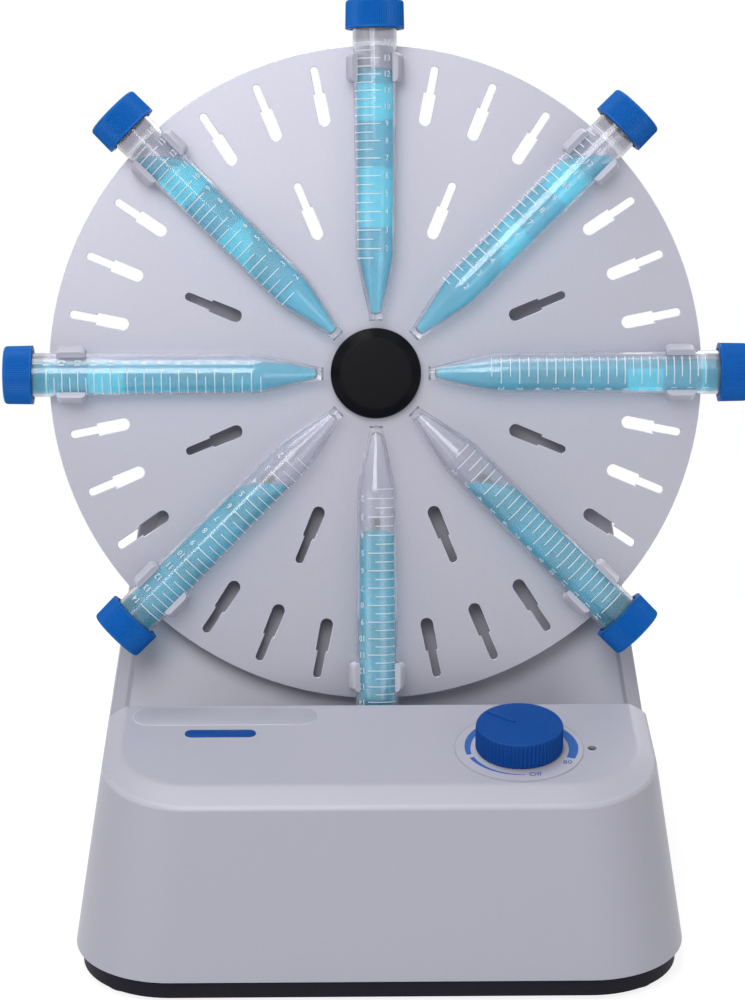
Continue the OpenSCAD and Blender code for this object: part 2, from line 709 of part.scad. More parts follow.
module compound_gear() color(brass) on_axis() translate([axis_b[0], axis_b[1], 0]) difference() {
    union() {
        translate([0, 0, first_gear_h - 0.5]) small_gear(b_turn + 180, 6);
        translate([0, 0, second_gear_h]) difference() {
            big_gear(c_turn + 180 / big_teeth, 5);
            translate([0, 0, -1]) for (i = [0:5]) rotate([0, 0, i * 60]) translate([13.5, 0])
                cylinder(r = 3.6, h = 8);
        }
        translate([0, 0, rear_plate_h + plate_t2 + 0.2]) cylinder(r = 4.2, h = space_l - 0.4);
    }
    translate([0, 0, rear_plate_h]) cylinder(r = axle_r + run, h = space_l + 10);
}

module output_gear() color(brass) on_axis() difference() {
    union() {
        translate([0, 0, first_gear_h]) difference() {
            big_gear(b_turn + 180 / big_teeth, 5);
            translate([0, 0, -1]) for (i = [0:5]) rotate([0, 0, i * 60]) translate([14.5, 0])
                cylinder(r = 3.6, h = 8);
        }
        translate([0, 0, first_gear_h]) cylinder(r = 8, h = 6);
    }
    translate([0, 0, first_gear_h - 5]) cylinder(r = shaft_d / 2, h = 20);
}

// ---------------------------------------------------------------- motor

motor_h = rear_plate_h - motor_l;
motor_shaft_r = 1.5;

module at_motor() on_axis() translate([axis_c[0], axis_c[1], motor_h]) children();

module motor_can() color(steel) at_motor() {
    difference() {
        cylinder(r = motor_d / 2, h = motor_l);
        translate([0, 0, -1]) cylinder(r = motor_d / 2 - 1.2, h = motor_l - 0.5);
        cylinder(r = motor_shaft_r + run, h = motor_l + 1);
        for (a = [45, 225]) rotate([0, 0, a]) translate([9.5, 0, 0]) cylinder(r = pilot_r, h = motor_l + 1);
    }
    difference() {
        cylinder(r = motor_d / 2 - 1.25, h = 3);
        translate([0, 0, 1.5]) cylinder(r = motor_shaft_r + run, h = 3);
    }
}

module motor_magnets() color("#4a4a50") at_motor() translate([0, 0, 5]) difference() {
    cylinder(r = motor_d / 2 - 1.3, h = motor_l - 10);
    translate([0, 0, -1]) cylinder(r = motor_d / 2 - 5, h = motor_l);
    for (a = [0, 180]) rotate([0, 0, a]) translate([0, -5, -1]) cube([motor_d, 10, motor_l]);
}

module motor_armature() color("#b06a3a") at_motor() {
    translate([0, 0, 1.6]) cylinder(r = motor_shaft_r, h = motor_l + plate_t2 + 7);
    translate([0, 0, 9]) difference() {
        cylinder(r = motor_d / 2 - 5.6, h = motor_l - 18);
        translate([0, 0, -1]) cylinder(r = motor_shaft_r, h = motor_l);
        for (i = [0:4]) rotate([0, 0, i * 72]) {
            translate([0, -0.8, -1]) cube([motor_d, 1.6, motor_l]);
            translate([7, 0, -1]) cylinder(r = 2, h = motor_l);
        }
    }
    translate([0, 0, 4]) difference() {
        cylinder(r = 4, h = 5);
        translate([0, 0, -1]) cylinder(r = motor_shaft_r, h = 12);
    }
}

module motor_pinion() color(brass) on_axis() translate([axis_c[0], axis_c[1], second_gear_h - 0.5])
    difference() {
        small_gear(c_turn + 180, 6);
        translate([0, 0, -5]) cylinder(r = motor_shaft_r, h = 20);
    }

// ---------------------------------------------------------------- rotor

hub_r = 22;
hub_t = 3;
set_screw_turn = 50;
shoulder_h = first_gear_h - 0.4;

module main_shaft() color(steel) on_axis() {
    translate([0, 0, shoulder_h]) cylinder(r = shaft_d / 2, h = -shoulder_h);
    cylinder(r = 2.95, h = 6);
    translate([0, 0, rear_plate_h - 1]) cylinder(r = rear_shaft_r, h = shoulder_h - rear_plate_h + 1);
}

module disc_hub() color("#c8cad0") on_axis() difference() {
    union() {
        translate([0, 0, -disc_t - hub_t]) cylinder(r = hub_r, h = hub_t);
        translate([0, 0, -face_h + 1]) cylinder(r = 10, h = face_gap - 1);
    }
    translate([0, 0, -face_h - 1]) cylinder(r = shaft_d / 2 + 0.02, h = face_h + 2);
    translate([0, 0, -face_h + 3.4]) rotate([0, 90, set_screw_turn]) translate([0, 0, shaft_d / 4])
        cylinder(r = 2, h = 20);
}

module hub_set_screw() color(black) on_axis() translate([0, 0, -face_h + 3.4])
    rotate([0, 90, set_screw_turn]) translate([0, 0, shaft_d / 2]) difference() {
        cylinder(r = 1.95, h = 5.6);
        translate([0, 0, 3.6]) cylinder(r = 1.15, h = 3, $fn = 6);
    }

// A keyhole slot whose outer end is at radius r, in the disc's plane.
module keyhole(r) {
    n = slot_narrow / 2;
    w = slot_wide / 2;
    translate([r - n, 0]) circle(n);
    translate([r - slot_l + w, -n]) square([slot_l - w - n, 2 * n]);
    translate([r - slot_l + w, 0]) circle(w);
    translate([r - slot_l + w, -w]) square([slot_wide_l - w, 2 * w]);
}

module rotor_disc() color("#b9b8c6") on_axis() translate([0, 0, -disc_t]) linear_extrude(disc_t)
    difference() {
        circle(disc_d / 2, $fn = 180);
        circle(shaft_d / 2 + 0.1);
        for (i = [0:outer_slots - 1]) rotate(i * 360 / outer_slots) keyhole(outer_slot_r);
        for (i = [0:inner_slots - 1]) rotate(i * 360 / inner_slots) keyhole(inner_slot_r);
    }

hub_cap_r = 17.3;
hub_cap_h = 8;
module hub_cap() color(black) on_axis() rotate_extrude() polygon([[5, 0], [hub_cap_r, 0],
    [hub_cap_r, 4.4], [hub_cap_r - 0.6, 5.2], [13.6, hub_cap_h - 0.4], [13, hub_cap_h], [0, hub_cap_h],
    [0, 6.2], [5, 6.2]]);

module cap_insert() color(brass) on_axis() translate([0, 0, 0.2]) difference() {
    cylinder(r = 5, h = 5.6);
    translate([0, 0, -1]) cylinder(r = 2.95, h = 10);
}

// ---------------------------------------------------------------- tubes

function tube_r(z) = tube_cone_d / 2
    + (tube_mouth_d - tube_cone_d) / 2 * (z - cone_l) / (tube_l - cone_l);
thread_z = tube_l - 7;

module tube(i) color("#d8eef2") on_tube(i) rotate_extrude() polygon([
    [tip_d / 2 - 0.9, 0.8], [tip_d / 2 - 0.6, 0], [tip_d / 2, 0], [tip_d / 2, 2], [tube_cone_d / 2, cone_l],
    [tube_r(thread_z), thread_z], [tube_r(thread_z) + 0.6, thread_z + 0.6],
    [tube_r(thread_z) + 0.6, thread_z + 1.4], [tube_r(thread_z), thread_z + 2],
    [tube_mouth_d / 2, tube_l], [tube_mouth_d / 2 - tube_wall, tube_l],
    [tube_cone_d / 2 - tube_wall, cone_l], [tip_d / 2 - tube_wall, 3], [0, 2.4], [0, 0.8]]);

plug_r = tube_mouth_d / 2 - tube_wall - 1.2;
plug_l = 2.5;

// The space inside a closed tube, short of its walls by `gap`.
module tube_space(gap) rotate_extrude() polygon([
    [0, 2.4 + gap], [tip_d / 2 - tube_wall - gap, 3 + gap], [tube_cone_d / 2 - tube_wall - gap, cone_l],
    [tube_r(tube_l - plug_l) - tube_wall - gap, tube_l - plug_l - gap],
    [plug_r - gap, tube_l - plug_l - gap], [plug_r - gap, tube_l + 0.1 - gap], [0, tube_l + 0.1 - gap]]);

cap_z = tube_l + 1.8 - cap_h;
module tube_cap(i) color(blue) on_tube(i) rotate_extrude() polygon([
    [cap_d / 2 - 1.5, cap_z], [cap_d / 2, cap_z], [cap_d / 2, cap_z + 1.4], [cap_d / 2 - 0.3, cap_z + 1.6],
    [cap_d / 2 - 0.45, cap_z + cap_h - 1], [cap_d / 2 - 0.8, cap_z + cap_h - 0.3],
    [cap_d / 2 - 1.4, cap_z + cap_h], [0, cap_z + cap_h],
    [0, tube_l + 0.1], [plug_r, tube_l + 0.1],
    [plug_r + 0.2, tube_l - plug_l], [tube_mouth_d / 2 - tube_wall - 0.15, tube_l - plug_l + 0.5],
    [tube_mouth_d / 2 - tube_wall - 0.15, tube_l + 0.1], [tube_mouth_d / 2 + 0.8, tube_l + 0.1]]);

// Height above the bench of the liquid's level in tube i.
function level(i) = let (a = tube_angle(i), up = sin(a)) abs(up) < 0.1
    ? height(0, tube_h) + level_across
    : height((tip_r + (up > 0 ? level_upright : level_hanging)) * up, tube_h);

module sample_liquid() color("#58c4d8") for (i = [1:COUNT]) intersection() {
    on_tube(i) tube_space(0.12);
    translate([-FAR, -FAR, level(i) - FAR]) cube([2 * FAR, 2 * FAR, FAR]);
}

// A clip's outline across its tube: an open ring on a foot plate, with a lip at each end.
module clip_outline(bore) {
    edge = 40;
    difference() {
        union() {
            circle(bore + clip_t);
            translate([bore + 0.8, -clip_foot_w / 2]) square([tube_h - bore, clip_foot_w]);
        }
        circle(bore);
        translate([tube_h - 0.02, -edge]) square([edge, 2 * edge]);
        polygon([[0, 0], polar(edge, 180 - clip_open), polar(edge, 180), polar(edge, 180 + clip_open)]);
    }
    for (s = [-1, 1]) rotate(180 + s * clip_open) translate([bore + clip_t / 2 + 0.3, 0])
        circle(clip_t / 2 + 0.2);
}

// A flat plate `a` by `b` each way from its middle, with its corners rounded by `r`.
module rounded_plate(a, b, r) {
    square([2 * a, 2 * (b - r)], center = true);
    square([2 * (a - r), 2 * b], center = true);
    for (s = [-1, 1], t = [-1, 1]) translate([s * (a - r), t * (b - r)]) circle(r);
}

clip_foot_w = 14;
ear_r = 3.2;
module tube_clip(i) color("#eef0f4") on_tube(i) {
    z = clip_r - tip_r;
    neck = slot_narrow - 0.3;
    end = outer_slot_r - tip_r;
    bore = tube_r(z + clip_l / 2) + 0.06;
    intersection() {
        translate([0, 0, z - clip_l / 2]) linear_extrude(clip_l) clip_outline(bore);
        translate([-FAR, 0, z]) rotate([0, 90, 0]) linear_extrude(2 * FAR)
            rounded_plate(clip_l / 2, bore + clip_t, ear_r);
    }
    translate([tube_h - 0.1, -neck / 2, end - 6.2]) cube([disc_t + 0.5, neck, 5]);
    translate([tube_h + disc_t + 0.3, -slot_wide / 2 + 0.2, end - 6.5]) cube([1.6, slot_wide - 0.4, 6.5]);
}

front_housing();
rear_cover();
bottom_plate();
rubber_feet();
case_screws();
power_socket();
control_board();
wiring();
potentiometer();
potentiometer_nut();
potentiometer_shaft();
speed_knob();
dial_label();
indicator_lamp();
gear_plate_front();
gear_plate_rear();
plate_spacers();
gearbox_screws();
bearing_housing();
front_bearing();
rear_bush();
gear_axle();
motor_can();
motor_magnets();
motor_armature();
motor_pinion();
compound_gear();
output_gear();
main_shaft();
disc_hub();
hub_set_screw();
rotor_disc();
hub_cap();
cap_insert();
sample_liquid();
for (i = [1:COUNT]) {
    tube_clip(i);
    tube(i);
    tube_cap(i);
}
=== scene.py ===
# %% [markdown]
# # A tube rotator, built piece by piece
# A tube rotator keeps samples moving. A slotted disc stands at a slant, eight conical tubes lie on it in clips,
# and a small gear motor inside the housing turns it slowly. The engineering model gives every piece its place.
# This script loads that model, gives every piece a finish, and makes finer shapes for what the eye lands on.

# %% Load the frame
import json
import math

import bmesh
import bpy
from mathutils import Matrix, Vector


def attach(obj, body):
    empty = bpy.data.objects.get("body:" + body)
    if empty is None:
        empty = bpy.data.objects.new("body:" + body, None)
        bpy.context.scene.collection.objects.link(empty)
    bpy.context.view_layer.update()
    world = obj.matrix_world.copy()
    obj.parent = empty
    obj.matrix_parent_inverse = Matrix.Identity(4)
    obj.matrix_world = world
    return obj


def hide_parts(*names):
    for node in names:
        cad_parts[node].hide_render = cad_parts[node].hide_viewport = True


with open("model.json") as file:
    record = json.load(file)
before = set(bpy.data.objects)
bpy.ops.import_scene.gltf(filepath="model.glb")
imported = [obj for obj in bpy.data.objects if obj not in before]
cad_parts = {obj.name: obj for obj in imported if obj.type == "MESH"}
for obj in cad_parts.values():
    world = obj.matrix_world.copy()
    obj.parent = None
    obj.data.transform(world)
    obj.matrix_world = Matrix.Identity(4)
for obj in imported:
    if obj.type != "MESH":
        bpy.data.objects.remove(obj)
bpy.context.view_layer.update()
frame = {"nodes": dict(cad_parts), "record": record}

nodes = frame["nodes"]

# %% [markdown]
# ## Sizes that the pieces share
# All sizes are in millimetres, as on the drawing, and a mesh is brought to metres once it is finished.
# Three local frames save a lot of sums: one on the disc, one on each tube and one on the console.
# A piece is drawn upright at the origin, and the frame's matrix then carries its mesh to its place.

# %% Frames
MM = 0.001
DISC_CENTRE = Vector((0, 22, 197))
DISC_TILT = math.radians(17.5)
TUBES = 8
TIP_RADIUS = 20
TUBE_HEIGHT = 10.8
CONSOLE_SLOPE = math.radians(6)
CONSOLE_EDGE = Vector((0, -42.04, 87))
KNOB_XY = (51.4, -75.3)

# x across the disc, y up its face, z out of its face
ON_DISC = Matrix.Translation(DISC_CENTRE) @ Matrix.Rotation(math.pi / 2 - DISC_TILT, 4, "X")


def tube_angle(number):
    """The tube's direction on the disc. Tube 1 stands upright, and the rest follow clockwise."""
    return math.pi / 2 - 2 * math.pi / TUBES * (number - 1)


def on_tube(number):
    """z from the tube's tip to its mouth, and x towards the disc."""
    return (ON_DISC @ Matrix.Rotation(tube_angle(number), 4, "Z") @ Matrix.Translation((TIP_RADIUS, 0, TUBE_HEIGHT))
            @ Matrix.Rotation(math.pi / 2, 4, "Y"))


def on_console(x, y):
    """z out of the sloping console, above a point of the plan."""
    height = CONSOLE_EDGE.z - (CONSOLE_EDGE.y - y) * math.tan(CONSOLE_SLOPE)
    return Matrix.Translation((x, y, height)) @ Matrix.Rotation(CONSOLE_SLOPE, 4, "X")


print("disc centre", tuple(DISC_CENTRE), "tube 1 tip", [round(c, 1) for c in on_tube(1).translation])

# %% [markdown]
# ## The camera
# The picture is taken from about 1.3 m away, looking down at some 20 degrees with a long lens.
# A long lens from far away keeps the disc a true circle. The camera is turned by its direction, so it has no roll.

# %% Camera
CAMERA_PLACE = Vector((-18.17, -1213.13, 605.01))
CAMERA_LOOK = Vector((0.012856, 0.937072, -0.348899))
SENSOR_WIDTH = 36
FOCAL_LENGTH = 122.15
camera = bpy.data.objects.new("camera", bpy.data.cameras.new("camera"))
bpy.context.scene.collection.objects.link(camera)
camera.location = CAMERA_PLACE * MM
camera.rotation_euler = CAMERA_LOOK.to_track_quat("-Z", "Y").to_euler()
camera.data.sensor_width = SENSOR_WIDTH
camera.data.lens = FOCAL_LENGTH
bpy.context.scene.camera = camera
print("camera at", [round(c, 3) for c in camera.location])

# %% [markdown]
# ## Floor and light
# The object stands on a plain white floor that fades into a white surround. The surround is white only for rays
# from the camera, from gloss and through glass, so it doesn't light the object.
# The light itself comes from five soft lamps and a dim sky: a key lamp above the front, a low one at either side
# that lights the walls, one overhead for the console and one behind for the back and the rims.

# %% World, floor and lamps
SKY_LIGHT = 0.22
FLOOR_SIZE = 14
FLOOR_GLOW = 0.85
FADE_START, FADE_END = 0.18, 0.45
scene = bpy.context.scene
scene.view_settings.view_transform = "Standard"


def seen_rays(tree):
    """1 for rays from the camera, from gloss and through glass, 0 for rays that carry light."""
    path = tree.nodes.new("ShaderNodeLightPath")
    total = path.outputs["Is Camera Ray"]
    for name in ("Is Glossy Ray", "Is Transmission Ray"):
        adder = tree.nodes.new("ShaderNodeMath")
        adder.operation = "MAXIMUM"
        tree.links.new(total, adder.inputs[0])
        tree.links.new(path.outputs[name], adder.inputs[1])
        total = adder.outputs[0]
    return total


world = bpy.data.worlds.new("studio")
scene.world = world
world.use_nodes = True
tree = world.node_tree
sky = tree.nodes["Background"]
strength = tree.nodes.new("ShaderNodeMapRange")
strength.inputs["To Min"].default_value = SKY_LIGHT
strength.inputs["To Max"].default_value = 1.0
tree.links.new(seen_rays(tree), strength.inputs["Value"])
tree.links.new(strength.outputs["Result"], sky.inputs["Strength"])
sky.inputs["Color"].default_value = (1, 1, 1, 1)

bm = bmesh.new()
bmesh.ops.create_grid(bm, x_segments=1, y_segments=1, size=FLOOR_SIZE / 2)
floor_mesh = bpy.data.meshes.new("floor")
bm.to_mesh(floor_mesh)
bm.free()
floor = bpy.data.objects.new("floor", floor_mesh)
scene.collection.objects.link(floor)

floor_material = bpy.data.materials.new("white_floor")
floor_material.use_nodes = True
tree = floor_material.node_tree
tree.nodes.remove(tree.nodes["Principled BSDF"])
output = tree.nodes["Material Output"]
paper = tree.nodes.new("ShaderNodeBsdfDiffuse")
paper.inputs["Color"].default_value = (0.8, 0.8, 0.82, 1)
shade = tree.nodes.new("ShaderNodeBsdfDiffuse")
shade.inputs["Color"].default_value = (0.3, 0.3, 0.31, 1)
lift = tree.nodes.new("ShaderNodeEmission")
lift.inputs["Strength"].default_value = FLOOR_GLOW
near = tree.nodes.new("ShaderNodeAddShader")
far = tree.nodes.new("ShaderNodeEmission")
place = tree.nodes.new("ShaderNodeTexCoord")
reach = tree.nodes.new("ShaderNodeVectorMath")
reach.operation = "LENGTH"
fade = tree.nodes.new("ShaderNodeMapRange")
fade.inputs["From Min"].default_value = FADE_START
fade.inputs["From Max"].default_value = FADE_END
white = tree.nodes.new("ShaderNodeMixShader")
choose = tree.nodes.new("ShaderNodeMixShader")
tree.links.new(shade.outputs[0], near.inputs[0])
tree.links.new(lift.outputs[0], near.inputs[1])
tree.links.new(place.outputs["Object"], reach.inputs[0])
tree.links.new(reach.outputs["Value"], fade.inputs["Value"])
tree.links.new(fade.outputs["Result"], white.inputs["Fac"])
tree.links.new(near.outputs[0], white.inputs[1])
tree.links.new(far.outputs[0], white.inputs[2])
tree.links.new(seen_rays(tree), choose.inputs["Fac"])
tree.links.new(paper.outputs[0], choose.inputs[1])
tree.links.new(white.outputs[0], choose.inputs[2])
tree.links.new(choose.outputs[0], output.inputs["Surface"])
floor_mesh.materials.append(floor_material)


def soft_lamp(name, place, size, power):
    """A square area lamp that faces the middle of the disc."""
    lamp = bpy.data.objects.new(name, bpy.data.lights.new(name, "AREA"))
    lamp.data.size = size
    lamp.data.energy = power
    lamp.location = place
    lamp.rotation_euler = (DISC_CENTRE * MM - Vector(place)).to_track_quat("-Z", "Y").to_euler()
    scene.collection.objects.link(lamp)


soft_lamp("key_lamp", (-0.22, -0.80, 0.90), 0.55, 5.4)
soft_lamp("left_lamp", (-1.10, -0.90, 0.30), 0.8, 2.6)
soft_lamp("right_lamp", (0.78, -1.18, 0.26), 0.8, 3.0)
soft_lamp("top_lamp", (-0.20, 0.10, 1.35), 0.7, 7.5)
soft_lamp("back_lamp", (0.50, 1.30, 0.80), 0.9, 4)

# %% [markdown]
# ## Effects that several finishes share
# A finish is a colour, a gloss and a fine relief that changes a little from place to place.
# Each effect is a node group, built once and placed in each material with its own values:
# the fine grain of moulded or coated surfaces, the brushing of metal, the paler wear on edges, and smudges.

# %% Node groups


def new_group(name, inputs, outputs):
    """A shader node group with the named sockets. A socket's kind follows its default value."""
    group = bpy.data.node_groups.new(name, "ShaderNodeTree")
    for socket, value in inputs:
        kind = "NodeSocketColor" if isinstance(value, tuple) else "NodeSocketFloat"
        made = group.interface.new_socket(name=socket, in_out="INPUT", socket_type=kind)
        made.default_value = value
    for socket, kind in outputs:
        group.interface.new_socket(name=socket, in_out="OUTPUT", socket_type=kind)
    return group, group.nodes.new("NodeGroupInput"), group.nodes.new("NodeGroupOutput")


def add(tree, kind, **values):
    """A node with the given values, on its properties or on its sockets."""
    node = tree.nodes.new(kind)
    for name, value in values.items():
        if hasattr(node, name):
            setattr(node, name, value)
        else:
            node.inputs[name.replace("_", " ")].default_value = value
    return node


def mixed(tree, factor, first, second, mode="MIX"):
    """Mixes two colours, each a socket or a plain colour."""
    mix = add(tree, "ShaderNodeMix", data_type="RGBA", blend_type=mode)
    for index, source in ((0, factor), (6, first), (7, second)):
        if isinstance(source, bpy.types.NodeSocket):
            tree.links.new(source, mix.inputs[index])
        else:
            mix.inputs[index].default_value = source
    return mix.outputs[2]


def noise(tree, scale, detail=3.0, stretch=None):
    """A noise value on the piece's own coordinates, drawn out along an axis by stretch."""
    place = tree.nodes.new("ShaderNodeTexCoord")
    source = place.outputs["Object"]
    if stretch:
        mapping = tree.nodes.new("ShaderNodeMapping")
        mapping.inputs["Scale"].default_value = stretch
        tree.links.new(source, mapping.inputs["Vector"])
        source = mapping.outputs["Vector"]
    cloud = add(tree, "ShaderNodeTexNoise", Detail=detail)
    tree.links.new(source, cloud.inputs["Vector"])
    if isinstance(scale, bpy.types.NodeSocket):
        tree.links.new(scale, cloud.inputs["Scale"])
    else:
        cloud.inputs["Scale"].default_value = scale
    return cloud.outputs["Fac"]


def spread(tree, value, low, high):
    """Maps 0.35..0.65, where most of a noise lies, to low..high. Each end is a socket or a number."""
    node = add(tree, "ShaderNodeMapRange", From_Min=0.35, From_Max=0.65)
    tree.links.new(value, node.inputs["Value"])
    for name, end in (("To Min", low), ("To Max", high)):
        if isinstance(end, bpy.types.NodeSocket):
            tree.links.new(end, node.inputs[name])
        else:
            node.inputs[name].default_value = end
    return node.outputs["Result"]


# Fine grain: a tight noise that tints the colour and gives the relief of a moulding or coating
grain_group, g_in, g_out = new_group(
    "fine_grain",
    [("Colour", (0.8, 0.8, 0.8, 1)), ("Tint", (0.7, 0.7, 0.7, 1)), ("Amount", 0.3), ("Scale", 900.0)],
    [("Colour", "NodeSocketColor"), ("Height", "NodeSocketFloat")])
fine = noise(grain_group, g_in.outputs["Scale"])
share = add(grain_group, "ShaderNodeMath", operation="MULTIPLY")
grain_group.links.new(spread(grain_group, fine, 0.0, 1.0), share.inputs[0])
grain_group.links.new(g_in.outputs["Amount"], share.inputs[1])
grain_group.links.new(
    mixed(grain_group, share.outputs[0], g_in.outputs["Colour"], g_in.outputs["Tint"]), g_out.inputs["Colour"])
grain_group.links.new(fine, g_out.inputs["Height"])

# Smudges: a slow cloud that makes the gloss uneven
smudge_group, g_in, g_out = new_group(
    "smudges", [("Roughness", 0.4), ("Amount", 0.1), ("Scale", 14.0)], [("Roughness", "NodeSocketFloat")])
cloud = noise(smudge_group, g_in.outputs["Scale"], 4.0)
top = add(smudge_group, "ShaderNodeMath", operation="ADD")
smudge_group.links.new(g_in.outputs["Roughness"], top.inputs[0])
smudge_group.links.new(g_in.outputs["Amount"], top.inputs[1])
smudge_group.links.new(
    spread(smudge_group, cloud, g_in.outputs["Roughness"], top.outputs[0]), g_out.inputs["Roughness"])

# Edge wear: convex edges grow paler where a broken noise lets them
wear_group, g_in, g_out = new_group(
    "edge_wear", [("Colour", (0.8, 0.8, 0.8, 1)), ("Worn", (1, 1, 1, 1)), ("Amount", 0.5)],
    [("Colour", "NodeSocketColor"), ("Mask", "NodeSocketFloat")])
shape = wear_group.nodes.new("ShaderNodeNewGeometry")
edge = add(wear_group, "ShaderNodeMapRange", From_Min=0.52, From_Max=0.62)
wear_group.links.new(shape.outputs["Pointiness"], edge.inputs["Value"])
broken = add(wear_group, "ShaderNodeMath", operation="MULTIPLY")
wear_group.links.new(edge.outputs["Result"], broken.inputs[0])
wear_group.links.new(spread(wear_group, noise(wear_group, 160.0), 0.2, 1.0), broken.inputs[1])
mask = add(wear_group, "ShaderNodeMath", operation="MULTIPLY")
wear_group.links.new(broken.outputs[0], mask.inputs[0])
wear_group.links.new(g_in.outputs["Amount"], mask.inputs[1])
wear_group.links.new(
    mixed(wear_group, mask.outputs[0], g_in.outputs["Colour"], g_in.outputs["Worn"]), g_out.inputs["Colour"])
wear_group.links.new(mask.outputs[0], g_out.inputs["Mask"])

# Brushing: long fine lines that run along the piece
brush_group, g_in, g_out = new_group(
    "brushing", [("Colour", (0.7, 0.7, 0.7, 1)), ("Amount", 0.25), ("Scale", 400.0)],
    [("Colour", "NodeSocketColor"), ("Height", "NodeSocketFloat")])
lines = noise(brush_group, g_in.outputs["Scale"], 2.0, stretch=(1.0, 0.04, 1.0))
share = add(brush_group, "ShaderNodeMath", operation="MULTIPLY")
brush_group.links.new(spread(brush_group, lines, 0.0, 1.0), share.inputs[0])
brush_group.links.new(g_in.outputs["Amount"], share.inputs[1])
brush_group.links.new(
    mixed(brush_group, share.outputs[0], g_in.outputs["Colour"], (0.25, 0.25, 0.27, 1)), g_out.inputs["Colour"])
brush_group.links.new(lines, g_out.inputs["Height"])
print("groups:", [g.name for g in bpy.data.node_groups])

# %% [markdown]
# ## The finishes
# Every material is made by one of three recipes. A moulded or coated finish has grain, smudges and a little wear.
# A metal has brushing in place of grain. A clear finish lets light through, and also lets the lamps' shadow rays pass,
# because otherwise a lamp leaves black what stands behind glass. The tubes' plastic is greyed past the disc's rim as
# painted shade, and the disc's edges take a paler colour than its faces as a painted highlight.

# %% Material recipes


def start_material(name, **sockets):
    """A new material, its node tree and its main shader with plain numbers on its sockets."""
    made = bpy.data.materials.new(name)
    made.use_nodes = True
    tree = made.node_tree
    shader = tree.nodes["Principled BSDF"]
    for socket, value in sockets.items():
        shader.inputs[socket.replace("_", " ")].default_value = value
    return made, tree, shader


def placed(tree, group, links=(), **values):
    """A group's node in a material. A link is the name of an input with the socket that feeds it."""
    node = tree.nodes.new("ShaderNodeGroup")
    node.node_tree = group
    for name, value in values.items():
        node.inputs[name].default_value = value
    for name, source in links:
        tree.links.new(source, node.inputs[name])
    return node


def relief(tree, shader, height, depth):
    """Feeds a height through a bump node to the shader. Depth is in metres."""
    bump = add(tree, "ShaderNodeBump", Strength=1.0, Distance=depth)
    tree.links.new(height, bump.inputs["Height"])
    tree.links.new(bump.outputs["Normal"], shader.inputs["Normal"])


def tone(colour, factor):
    """A paler or darker tone of a colour."""
    return tuple(min(1.0, c * factor) for c in colour[:3]) + (1,)


def coated(name, colour, roughness, grain=900.0, depth=0.00001, tint=0.82, amount=0.5, smudge=0.08,
           wear=0.25, worn=None, **sockets):
    """A moulded or coated finish: grain, smudges and pale edges."""
    made, tree, shader = start_material(name, **sockets)
    colour = tuple(colour) + (1,)
    grained = placed(tree, grain_group, Colour=colour, Tint=tone(colour, tint), Amount=amount, Scale=grain)
    worn_edges = placed(tree, wear_group, [("Colour", grained.outputs["Colour"])],
                        Worn=worn or tone(colour, 1.5), Amount=wear)
    gloss = placed(tree, smudge_group, Roughness=roughness, Amount=smudge)
    tree.links.new(worn_edges.outputs["Colour"], shader.inputs["Base Color"])
    tree.links.new(gloss.outputs["Roughness"], shader.inputs["Roughness"])
    relief(tree, shader, grained.outputs["Height"], depth)
    return made


def metal(name, colour, roughness, lines=400.0, depth=0.000006, amount=0.3, smudge=0.12, wear=0.4):
    """Bare metal: brushing, smudges and bright edges."""
    made, tree, shader = start_material(name, Metallic=1.0)
    colour = tuple(colour) + (1,)
    brushed = placed(tree, brush_group, Colour=colour, Amount=amount, Scale=lines)
    worn_edges = placed(tree, wear_group, [("Colour", brushed.outputs["Colour"])],
                        Worn=tone(colour, 1.3), Amount=wear)
    gloss = placed(tree, smudge_group, Roughness=roughness, Amount=smudge)
    tree.links.new(worn_edges.outputs["Colour"], shader.inputs["Base Color"])
    tree.links.new(gloss.outputs["Roughness"], shader.inputs["Roughness"])
    relief(tree, shader, brushed.outputs["Height"], depth)
    return made


def lamps_pass(made, colour):
    """Shadow rays go through the material, tinted, so that lamps reach what is behind it."""
    tree = made.node_tree
    shader = tree.nodes["Principled BSDF"]
    path = tree.nodes.new("ShaderNodeLightPath")
    clear = add(tree, "ShaderNodeBsdfTransparent", Color=tuple(colour) + (1,))
    choose = tree.nodes.new("ShaderNodeMixShader")
    tree.links.new(path.outputs["Is Shadow Ray"], choose.inputs["Fac"])
    tree.links.new(shader.outputs[0], choose.inputs[1])
    tree.links.new(clear.outputs[0], choose.inputs[2])
    tree.links.new(choose.outputs[0], tree.nodes["Material Output"].inputs["Surface"])


def clear_finish(name, colour, passing, roughness, ior, grain=500.0, tint=0.93, amount=0.4, smudge=0.03,
                 through=1.0):
    """A clear finish. Its colour and gloss vary a little, and it lets the lamps pass. Through is how clear it is."""
    made, tree, shader = start_material(name, Transmission_Weight=through, IOR=ior)
    colour = tuple(colour) + (1,)
    grained = placed(tree, grain_group, Colour=colour, Tint=tone(colour, tint), Amount=amount, Scale=grain)
    gloss = placed(tree, smudge_group, Roughness=roughness, Amount=smudge, Scale=60.0)
    tree.links.new(grained.outputs["Colour"], shader.inputs["Base Color"])
    tree.links.new(gloss.outputs["Roughness"], shader.inputs["Roughness"])
    lamps_pass(made, passing)
    return made


# the radius past which the tubes' plastic is greyed as painted shade, just beyond the disc's rim
SHADE_FROM_RADIUS = 126
SHADE_FADE = 1.5


